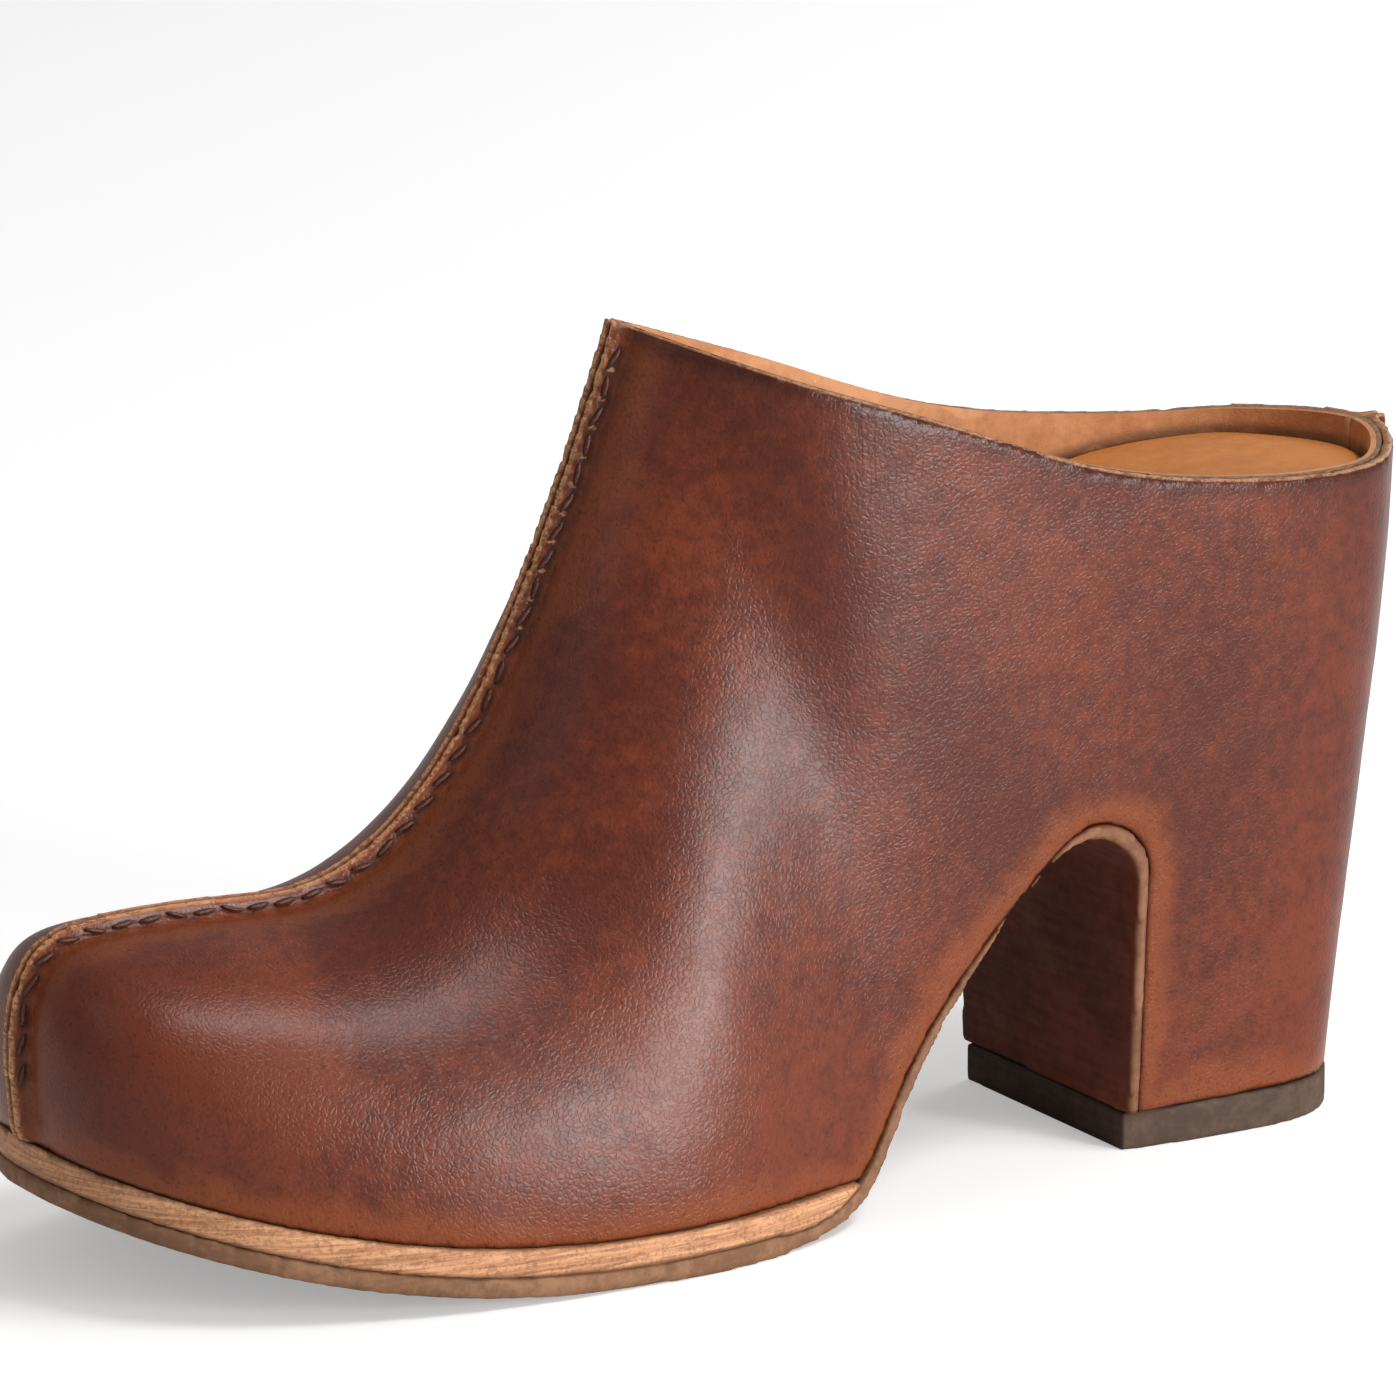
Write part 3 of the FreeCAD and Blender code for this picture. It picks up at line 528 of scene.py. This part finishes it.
class Surface:
    """A CAD surface that points can be measured from and set down on.

    SHARP is the angle from which an edge counts as sharp, CLOSE the spacing of the spots along
    such edges. ALIKE says how well a skin's normal has to agree before its point is moved.
    """

    SHARP = math.radians(32)
    CLOSE = 0.15 * MM
    ALIKE = (0.88, 0.97)
    TINY = 1e-12

    def __init__(self, *nodes: str) -> None:
        """Reads the nodes' triangles and their smooth corner normals."""
        mesh = to_mesh(cad_copy(*nodes), "surface")
        mesh.polygons.foreach_set("use_smooth", [True] * len(mesh.polygons))
        mesh.set_sharp_from_angle(angle=self.SHARP)
        self.points = points_of(mesh)
        self.corners = np.array([p.vertices[:] for p in mesh.polygons])
        flat = np.empty(len(mesh.loops) * 3, dtype=np.float32)
        mesh.corner_normals.foreach_get("vector", flat)
        self.corner_normals = flat.reshape(-1, 3, 3).astype(float)
        self.tree = BVHTree.FromPolygons([Vector(p) for p in self.points], self.corners.tolist())
        sharp = [e.vertices[:] for e in mesh.edges if e.use_edge_sharp]
        self.creases = self.along_edges(np.array(sharp, dtype=int).reshape(-1, 2))
        bpy.data.meshes.remove(mesh)

    def along_edges(self, edges: np.ndarray) -> np.ndarray:
        """Closely spaced spots along edges, given as pairs of vertex numbers."""
        spots = []
        for a, b in edges:
            run = self.points[b] - self.points[a]
            count = max(1, math.ceil(float(np.linalg.norm(run)) / self.CLOSE))
            spots += [self.points[a] + run * ((k + 0.5) / count) for k in range(count)]
        return np.array(spots).reshape(-1, 3)

    def to_creases(self, start: np.ndarray, points: np.ndarray, cell: float) -> np.ndarray:
        """Puts each point whose lattice cell holds a sharp edge onto that edge.

        Args:
            start: Where the points lay in the lattice, one row each.
            points: Where they are now.
            cell: Spacing of the lattice.

        Returns:
            The points' new places.
        """
        held: dict[tuple[int, ...], list[int]] = {}
        for i, key in enumerate(map(tuple, np.floor(self.creases / cell).astype(int).tolist())):
            held.setdefault(key, []).append(i)
        moved = points.copy()
        for i, key in enumerate(map(tuple, np.floor(start / cell).astype(int).tolist())):
            if key in held:
                own = self.creases[held[key]]
                moved[i] = own[((own - points[i]) ** 2).sum(1).argmin()]
        return moved

    def distance(self, points: np.ndarray, reach: float) -> np.ndarray:
        """Distance from each point, capped at reach."""
        found = (self.tree.find_nearest(Vector(p), reach)[3] for p in points)
        return np.array([reach if d is None else d for d in found])

    def settle(self, points: np.ndarray, normals: np.ndarray, curvature: float = 0.75,
               most: float = 0.09 * MM) -> np.ndarray:
        """Sets each point down on the curved surface that the flat triangles stand for.

        Args:
            points: One row per point.
            normals: The skin's own normals; where they lean away from the surface's, at its
                corners, the point stays.
            curvature: Share of the way from the flat triangle to its corners' tangent planes.
            most: How far the curved surface may lie from the flat triangle.

        Returns:
            The points' new places.
        """
        hits = [self.tree.find_nearest(Vector(p)) for p in points]
        flat = np.array([h[0] for h in hits])
        index = np.array([h[2] for h in hits])
        a, b, c = (self.points[self.corners[index, k]] for k in range(3))
        across = np.cross(b - a, c - a)
        area = np.maximum((across ** 2).sum(1), self.TINY ** 2)
        share_b = (np.cross(flat - a, c - a) * across).sum(1) / area
        share_c = (np.cross(b - a, flat - a) * across).sum(1) / area
        shares = (1 - share_b - share_c, share_b, share_c)
        curved = np.zeros_like(flat)
        corner_normals = np.swapaxes(self.corner_normals[index], 0, 1)
        for share, corner, normal in zip(shares, (a, b, c), corner_normals):
            lift = ((flat - corner) * normal).sum(1)
            curved += share[:, None] * (flat - lift[:, None] * normal)
        bulge = curvature * (curved - flat)
        size = np.linalg.norm(bulge, axis=1, keepdims=True)
        bulge *= np.minimum(1.0, most / np.maximum(size, self.TINY))
        length = np.linalg.norm(across, axis=1, keepdims=True)
        facing = across / np.maximum(length, self.TINY ** 1.5)
        agree = smooth_step((facing * normals).sum(1), *self.ALIKE)[:, None]
        return points + agree * (flat + bulge - points)


class Piece:
    """A visible piece made from CAD nodes: an even skin, worked and dressed.

    ROUNDS is how often a skin is smoothed once it lies on the shape.
    """

    ROUNDS = 2

    def __init__(self, name: str, slot: str, nodes: Sequence[str]) -> None:
        """Names the piece and the nodes that it stands for; the slot name is kept but not used."""
        self.name, self.slot, self.nodes = name, slot, nodes

    def skin(self, voxel: float) -> bpy.types.Mesh:
        """Even quads over the nodes' shape, with soft edges.

        Args:
            voxel: Spacing of the skin.

        Returns:
            The mesh.
        """
        holder = bpy.data.objects.new("holder", to_mesh(cad_copy(*self.nodes), "holder"))
        bpy.context.scene.collection.objects.link(holder)
        even = holder.modifiers.new("even", "REMESH")
        even.mode, even.voxel_size = "VOXEL", voxel
        made = holder.evaluated_get(bpy.context.evaluated_depsgraph_get())
        mesh = bpy.data.meshes.new_from_object(made)
        bpy.data.objects.remove(holder)
        mesh.name = self.name
        shape = Surface(*self.nodes)
        start = points_of(mesh)
        settled = shape.settle(start, normals_of(mesh))
        write_points(mesh, shape.to_creases(start, settled, voxel))
        bm = bmesh.new()
        bm.from_mesh(mesh)
        for _ in range(self.ROUNDS):
            bmesh.ops.smooth_vert(bm, verts=bm.verts, factor=0.5, use_axis_x=True,
                                  use_axis_y=True, use_axis_z=True)
        bm.to_mesh(mesh)
        bm.free()
        return mesh

    def show(self, mesh: bpy.types.Mesh, material: bpy.types.Material,
             sharp: float | None = None) -> bpy.types.Object:
        """Puts the piece in the scene, on the shoe's body.

        Args:
            mesh: The finished mesh.
            material: Its finish.
            sharp: Angle in degrees from which an edge is shaded sharp, if any is.

        Returns:
            The object.
        """
        mesh.materials.clear()
        mesh.materials.append(material)
        mesh.polygons.foreach_set("use_smooth", [True] * len(mesh.polygons))
        if sharp is not None:
            mesh.set_sharp_from_angle(angle=math.radians(sharp))
        obj = bpy.data.objects.new(self.name, mesh)
        bpy.context.scene.collection.objects.link(obj)
        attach(obj, BODY)
        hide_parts(*self.nodes)
        LOG.info("%s: %d faces", self.name, len(mesh.polygons))
        return obj


# ---- The upper --------------------------------------------------------------------------
@dataclass(frozen=True)
class Stitch:
    """One run of thread on the flank of a seam's ridge."""

    middle: Vector
    along: Vector
    length: float


@dataclass
class Stitching:
    """Rounded waxed stitches in the place of the CAD threads."""

    proud: float = 0.1 * MM
    sunk: float = 0.30 * MM
    overrun: float = 0.25 * MM
    half_width: float = 0.36 * MM
    half_height: float = 0.56 * MM
    slant: float = 0.10
    segments: int = 8
    rings: int = 6

    def find(self, node: str) -> list[Stitch]:
        """Reads every stitch of a CAD thread node, from the outer face of its run."""
        bm = cad_copy(node)
        found, seen = [], set()
        for vert in bm.verts:
            if vert in seen:
                continue
            island, queue = [], [vert]
            seen.add(vert)
            while queue:
                at = queue.pop()
                island.append(at.co.copy())
                fresh = [e.other_vert(at) for e in at.link_edges if e.other_vert(at) not in seen]
                seen.update(fresh)
                queue.extend(fresh)
            side = 1.0 if sum(p.y for p in island) > 0 else -1.0
            proud = max(p.y * side for p in island)
            run = [p for p in island if p.y * side > proud - self.proud]
            span = max((b - a for a in run for b in run), key=lambda line: line.length)
            found.append(Stitch(sum(run, Vector()) / len(run), span.normalized(), span.length))
        bm.free()
        return found

    def build(self, name: str, node: str, finish: bpy.types.Material) -> None:
        """Makes the stitches of one seam, with ends that dip into the leather."""
        bm = bmesh.new()
        for stitch in self.find(node):
            side = 1.0 if stitch.middle.y > 0 else -1.0
            out = Vector((0, side, 0))
            up = stitch.along.cross(out).normalized()
            turn = Matrix((stitch.along, up, out)).transposed().to_4x4()
            size = Matrix.Diagonal((stitch.length / 2 + self.overrun, self.half_width,
                                    self.half_height, 1.0))
            place = Matrix.Translation(stitch.middle - out * self.sunk)
            slant = Matrix.Rotation(self.slant * side, 4, "Z")
            bmesh.ops.create_uvsphere(bm, u_segments=self.segments, v_segments=self.rings,
                                      radius=1.0, matrix=place @ turn @ slant @ size)
        bmesh.ops.recalc_face_normals(bm, faces=bm.faces)
        Piece(name, "thread", [node]).show(to_mesh(bm, name), finish)


@dataclass
class Upper:
    """Leather quarters, their stitching and the lining.

    A pair is the start and the end of a smooth change: depth is measured from the lining, rim
    from the cut topline, foot from the bottom, and facing is a part of a point's normal.
    """

    spacing: float = 0.85 * MM
    leather: float = 1.8 * MM
    far: float = 40 * MM
    lining_reach: float = 12 * MM
    outside_depth: tuple[float, float] = (1.6 * MM, 2.4 * MM)
    crest_depth: tuple[float, float] = (3.6 * MM, 4.3 * MM)
    crest_middle: tuple[float, float] = (2.05 * MM, 2.35 * MM)
    crest_facing: tuple[float, float] = (0.45, 0.75)
    pucker: float = 0.22 * MM
    pucker_reach: float = 1.9 * MM
    unevenness: float = 0.10 * MM
    waves: tuple[tuple[float, float], ...] = ((75.0, 1.0), (190.0, 0.5))
    even_foot: tuple[float, float] = (1 * MM, 6 * MM)
    even_rim: tuple[float, float] = (0.5 * MM, 4 * MM)
    collar_level: float = 0.090
    rim_facing: float = 0.72
    rim_edge: float = 9 * MM
    ridge_facing: float = 0.35
    stitch_spots: tuple[float, ...] = (-0.45, 0.0, 0.45)
    lining_edge: float = 5 * MM
    lining_sharp: float = 40.0
    stitching: Stitching = field(default_factory=Stitching)

    def rim_faces(self, node: str) -> BVHTree:
        """The cut top edge of a quarter."""
        bm = cad_copy(node)
        rims = [f for f in bm.faces
                if f.normal.z > self.rim_facing and f.calc_center_median().z > self.collar_level
                and max(e.calc_length() for e in f.edges) < self.rim_edge
                and abs(f.normal.y) < self.ridge_facing]
        tree = BVHTree.FromPolygons([v.co.copy() for v in bm.verts],
                                    [[v.index for v in f.verts] for f in rims])
        bm.free()
        return tree

    def quarter(self, side: str, finish: bpy.types.Material, bottom: Surface,
                threads: KDTree) -> None:
        """Leather of one side, with puckers at its stitches, and its wear, raw edges and painted
        shade marked for the finish.
        """
        node = side + "_quarter"
        piece = Piece(node + "_leather", "upper_leather", [node])
        mesh = piece.skin(self.spacing)
        points, normals = points_of(mesh), normals_of(mesh)
        depth = Surface(side + "_lining").distance(points, self.lining_reach)
        cut = self.rim_faces(node)
        rim = np.array([cut.find_nearest(Vector(p))[3] for p in points])
        bite = np.array([threads.find(Vector(p))[2] for p in points])
        foot = bottom.distance(points, self.far)
        middle = np.abs(points[:, 1])
        crest = ((1 - smooth_step(np.abs(normals[:, 1]), *self.crest_facing))
                 * (1 - smooth_step(middle, *self.crest_middle))
                 * smooth_step(depth, *self.crest_depth))
        for name, values in (("raw", crest), ("seam", np.maximum(middle - self.leather, 0.0)),
                             ("rim", np.minimum(rim, self.far)), ("foot", foot), ("bite", bite)):
            write_mark(mesh, name, values)
        rolling = np.array([sum(share * noise.noise(Vector(p) * scale)
                                for scale, share in self.waves) for p in points])
        push = self.unevenness * rolling * smooth_step(foot, *self.even_foot)
        push = push - self.pucker * np.exp(-(bite / self.pucker_reach) ** 2)
        push = push * smooth_step(depth, *self.outside_depth) * smooth_step(rim, *self.even_rim)
        write_points(mesh, points + normals * push[:, None])
        piece.show(mesh, finish)

    def lining(self, side: str, finish: bpy.types.Material, footbed: Surface) -> None:
        """Lining of one side, marked where it meets the footbed, for painted shade there."""
        node = side + "_lining"
        piece = Piece(node + "_leather", "lining_leather", [node])
        bm = cad_copy(node)
        long_edges = [e for e in bm.edges if e.calc_length() > self.lining_edge]
        bmesh.ops.subdivide_edges(bm, edges=long_edges, cuts=2)
        bmesh.ops.triangulate(bm, faces=bm.faces)
        mesh = to_mesh(bm, piece.name)
        write_mark(mesh, "contact_shade_gap", footbed.distance(points_of(mesh), self.far))
        piece.show(mesh, finish, self.lining_sharp)

    def build(self, leather: bpy.types.Material, lining: bpy.types.Material,
              thread: bpy.types.Material) -> None:
        """Makes every piece of the upper."""
        seams = {"front_seam_stitches": "front_seam_thread",
                 "back_seam_stitches": "back_seam_thread"}
        spots = [stitch.middle + stitch.along * (stitch.length * share)
                 for node in seams.values() for stitch in self.stitching.find(node)
                 for share in self.stitch_spots]
        threads = KDTree(len(spots))
        for i, spot in enumerate(spots):
            threads.insert(spot, i)
        threads.balance()
        bottom, footbed = Surface("welt", "outsole", "top_lift"), Surface("sock_liner")
        for side in ("outer", "inner"):
            self.quarter(side, leather, bottom, threads)
            self.lining(side, lining, footbed)
        for name, node in seams.items():
            self.stitching.build(name, node, thread)


# ---- The footbed ------------------------------------------------------------------------
@dataclass
class Footbed:
    """Leather sock over foam: a soft pad, crowned in the middle and rolled in at its edge."""

    spacing: float = 0.75 * MM
    crown: float = 1.1 * MM
    crown_reach: float = 11 * MM
    roll: float = 0.35 * MM
    roll_reach: tuple[float, float] = (0.2 * MM, 2.2 * MM)
    top_facing: tuple[float, float] = (0.2, 0.6)
    far: float = 40 * MM
    fill: float = 0.7

    def build(self, sock: bpy.types.Material) -> None:
        """Makes the sock and lifts its middle."""
        piece = Piece("sock_pad", "footbed_leather", ["sock_liner"])
        mesh = piece.skin(self.spacing)
        points, normals = points_of(mesh), normals_of(mesh)
        aside = Surface("outer_lining", "inner_lining").distance(points, self.far)
        share = np.clip(aside / self.crown_reach, 0.0, 1.0)
        lift = self.crown * np.sin(share * math.pi / 2)
        lift = lift - self.roll * (1 - smooth_step(aside, *self.roll_reach))
        lift = lift * smooth_step(normals[:, 2], *self.top_facing)
        # distance to the linings: the sock's finish paints shade in the corner next to them
        write_mark(mesh, "contact_shade_gap", aside)
        write_points(mesh, points + normals * lift[:, None])
        pad = piece.show(mesh, sock)


# ---- The bottom -------------------------------------------------------------------------
@dataclass
class Bottom:
    """Welt, outsole and top lift. The cover mark takes the layers behind the waist but for their
    sideways rims: the outsole's reddish breast with painted shade, and painted shade on the top
    lift.
    """

    welt_spacing: float = 0.62 * MM
    sole_spacing: float = 0.8 * MM
    lift_spacing: float = 0.55 * MM
    cover_end: tuple[float, float] = (-14 * MM, 2 * MM)
    rim_facing: tuple[float, float] = (0.55, 0.85)
    rim_share: float = 0.75
    far: float = 20 * MM

    def layer(self, name: str, slot: str, node: str, spacing: float, finish: bpy.types.Material,
              neighbour: str) -> None:
        """Makes one layer and marks where it meets the upper and its neighbour.

        Args:
            name: The piece's name.
            slot: Its material slot.
            node: The CAD node that it stands for.
            spacing: Spacing of its skin.
            finish: Its material.
            neighbour: The CAD node of the layer that it meets.
        """
        piece = Piece(name, slot, [node])
        mesh = piece.skin(spacing)
        points, normals = points_of(mesh), normals_of(mesh)
        beside = Surface("outer_quarter", "inner_quarter", neighbour)
        # distance to the upper and the neighbouring layer: the welt's finish paints shade close to
        # them
        write_mark(mesh, "contact_shade_gap", beside.distance(points, self.far))
        # painted shade behind the waist, on the outsole with the breast's own reddish tone; the
        # sideways rims keep their own colour
        behind = 1 - smooth_step(points[:, 0], *self.cover_end)
        rim = smooth_step(np.abs(normals[:, 1]), *self.rim_facing)
        write_mark(mesh, "cover_and_shade", behind * (1 - self.rim_share * rim))
        piece.show(mesh, finish)

    def build(self, welt: bpy.types.Material, sole: bpy.types.Material,
              lift: bpy.types.Material) -> None:
        """Makes the three layers."""
        self.layer("welt_edge", "welt_leather", "welt", self.welt_spacing, welt, "outsole")
        self.layer("outsole_tread", "sole_rubber", "outsole", self.sole_spacing, sole, "welt")
        self.layer("top_lift_block", "lift_rubber", "top_lift", self.lift_spacing, lift, "outsole")


# ---- Inside the shoe --------------------------------------------------------------------
@dataclass(frozen=True)
class InnerWorks:
    """CAD nodes that stay as they are, each with the finish of its stock."""

    cloth: StockFinish = StockFinish("woven_backing", Stock.CLOTH, tint(150, 106, 70),
                                     tint(98, 62, 40), 0.9)
    stiff: StockFinish = StockFinish("stiffener_sheet", Stock.BOARD, tint(150, 110, 76),
                                     tint(104, 70, 46), 0.7)
    foam: StockFinish = StockFinish("latex_foam", Stock.FOAM, tint(232, 216, 168),
                                    tint(200, 178, 126), 0.85)
    board: StockFinish = StockFinish("insole_fibreboard", Stock.BOARD, tint(172, 144, 106),
                                     tint(128, 102, 70), 0.8)
    wood: StockFinish = StockFinish("sanded_alder", Stock.WOOD, tint(206, 166, 118),
                                    tint(160, 114, 74), 0.55)
    steel: StockFinish = StockFinish("plain_steel", Stock.STEEL, tint(186, 186, 190),
                                     tint(140, 140, 144), 0.38)

    def build(self) -> None:
        """Dresses the nodes."""
        plan = {self.cloth: ("outer_backing", "inner_backing"),
                self.stiff: ("toe_puff", "heel_counter"),
                self.foam: ("footbed_foam",), self.board: ("insole_board",),
                self.wood: ("heel_unit",),
                self.steel: ("shank", "shank_rivets", "heel_screw", "heel_nails",
                             "top_lift_nails")}
        for finish, nodes in plan.items():
            material = finish.build()
            for node in nodes:
                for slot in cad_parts[node].material_slots:
                    slot.material = material
                LOG.info("%s: %s", node, finish.name)


# ---- Studio -----------------------------------------------------------------------------
@dataclass(frozen=True)
class ViewPoint:
    """Where the camera stands, as a turn round the shoe and a height over the floor."""

    aim: tuple[float, float, float] = (0.00389, -0.001, 0.055)
    distance: float = 1.5
    turn: float = 0.54062
    elevation: float = 0.26704
    pan: float = -0.00025155
    tilt: float = 0.013231
    lens: float = 256.29
    sensor: float = 36.0

    def build(self) -> None:
        """Makes the camera and gives it to the scene."""
        back = Vector((math.sin(self.turn) * math.cos(self.elevation),
                       math.cos(self.turn) * math.cos(self.elevation), math.sin(self.elevation)))
        right = Vector((-math.cos(self.turn), math.sin(self.turn), 0.0))
        up = back.cross(right)
        ahead = -back * math.cos(self.pan) - right * math.sin(self.pan)
        across = right * math.cos(self.pan) - back * math.sin(self.pan)
        forward = ahead * math.cos(self.tilt) + up * math.sin(self.tilt)
        above = up * math.cos(self.tilt) - ahead * math.sin(self.tilt)
        data = bpy.data.cameras.new("camera")
        data.lens, data.sensor_width, data.sensor_fit = self.lens, self.sensor, "HORIZONTAL"
        camera = bpy.data.objects.new("camera", data)
        axes = Matrix((across, above, -forward)).transposed().to_4x4()
        camera.matrix_world = Matrix.Translation(Vector(self.aim) + back * self.distance) @ axes
        bpy.context.scene.collection.objects.link(camera)
        bpy.context.scene.camera = camera


@dataclass(frozen=True)
class SoftBox:
    """One rectangular studio lamp that faces the shoe."""

    name: str
    place: tuple[float, float, float]
    width: float
    height: float
    power: float

    def build(self, target: Vector) -> None:
        """Makes the lamp and turns it to the target."""
        data = bpy.data.lights.new(self.name, "AREA")
        data.shape, data.energy = "RECTANGLE", self.power
        data.size, data.size_y = self.width, self.height
        lamp = bpy.data.objects.new(self.name, data)
        lamp.location = self.place
        lamp.rotation_euler = (target - lamp.location).to_track_quat("-Z", "Y").to_euler()
        bpy.context.scene.collection.objects.link(lamp)


@dataclass(frozen=True)
class Studio:
    """White floor and surround, and soft light. The glow is seen by the camera only."""

    lamps: tuple[SoftBox, ...] = (
        SoftBox("tall_side", (-0.62, 1.20, 0.26), 0.26, 0.48, 15.0),
        SoftBox("overhead", (-0.34, 0.60, 1.22), 0.62, 0.34, 9.0),
        SoftBox("left", (1.3, 0.15, 0.9), 0.5, 0.7, 1.0),
        SoftBox("back_right", (-1.2, -0.6, 0.7), 0.5, 0.9, 5.0))
    target: tuple[float, float, float] = (0.0, 0.0, 0.05)
    floor_half: float = 6.0
    floor_tone: float = 0.82
    floor_glow: float = 0.34
    ambient: float = 0.34

    def seen_white(self, w: Wiring) -> Socket:
        """1 where the white surround itself is looked at."""
        return w.put("LightPath").outputs["Is Camera Ray"]

    def build(self) -> None:
        """Makes the world, the floor and the lamps."""
        world = bpy.data.worlds.new("surround")
        world.use_nodes = True
        w = Wiring(world.node_tree)
        background = next(n for n in world.node_tree.nodes if n.type == "BACKGROUND")
        w.feed(background.inputs["Color"], (1.0, 1.0, 1.0))
        strength = w.ramp(self.seen_white(w), 0.0, 1.0, self.ambient, 1.0)
        w.feed(background.inputs["Strength"], strength)
        bpy.context.scene.world = world
        bm = bmesh.new()
        bmesh.ops.create_grid(bm, x_segments=1, y_segments=1, size=self.floor_half)
        floor = bpy.data.objects.new("studio_floor", to_mesh(bm, "studio_floor"))
        material, w, shader = start_material("pale_floor")
        w.feed(shader.inputs["Base Color"], (self.floor_tone,) * 3)
        w.feed(shader.inputs["Roughness"], 1.0)
        set_gloss(shader, 0.0)
        w.feed(shader.inputs["Emission Color"], (1.0, 1.0, 1.0))
        glow = w.math("MULTIPLY", self.seen_white(w), self.floor_glow)
        w.feed(shader.inputs["Emission Strength"], glow)
        floor.data.materials.append(material)
        bpy.context.scene.collection.objects.link(floor)
        for lamp in self.lamps:
            lamp.build(Vector(self.target))
        bpy.context.scene.view_settings.view_transform = "Standard"


def main() -> None:
    """Builds the shoe and the studio round it."""
    logging.basicConfig(level=logging.INFO, format="%(message)s")
    ViewPoint().build()
    Studio().build()
    SharedEffects.build_all()
    lining = SmoothLeather("tan_lining_leather", tint(200, 142, 99), tint(174, 114, 70), 0.58, 0.35)
    sock = SmoothLeather("sock_leather", tint(206, 130, 64), tint(186, 112, 52), 0.46, 0.22)
    thread = StockFinish("waxed_thread", Stock.THREAD, tint(96, 46, 30), tint(48, 20, 14), 0.45)
    sole = Rubber("outsole_rubber", tint(148, 108, 80), tint(118, 84, 60), tint(106, 50, 29))
    lift = Rubber("lift_rubber", tint(98, 78, 64), tint(78, 60, 49), tint(70, 53, 43))
    Upper().build(BurnishedLeather().build(), lining.build(), thread.build())
    Footbed().build(sock.build())
    Bottom().build(WeltEdge().build(), sole.build(), lift.build())
    InnerWorks().build()


if __name__ == "__main__":
    main()
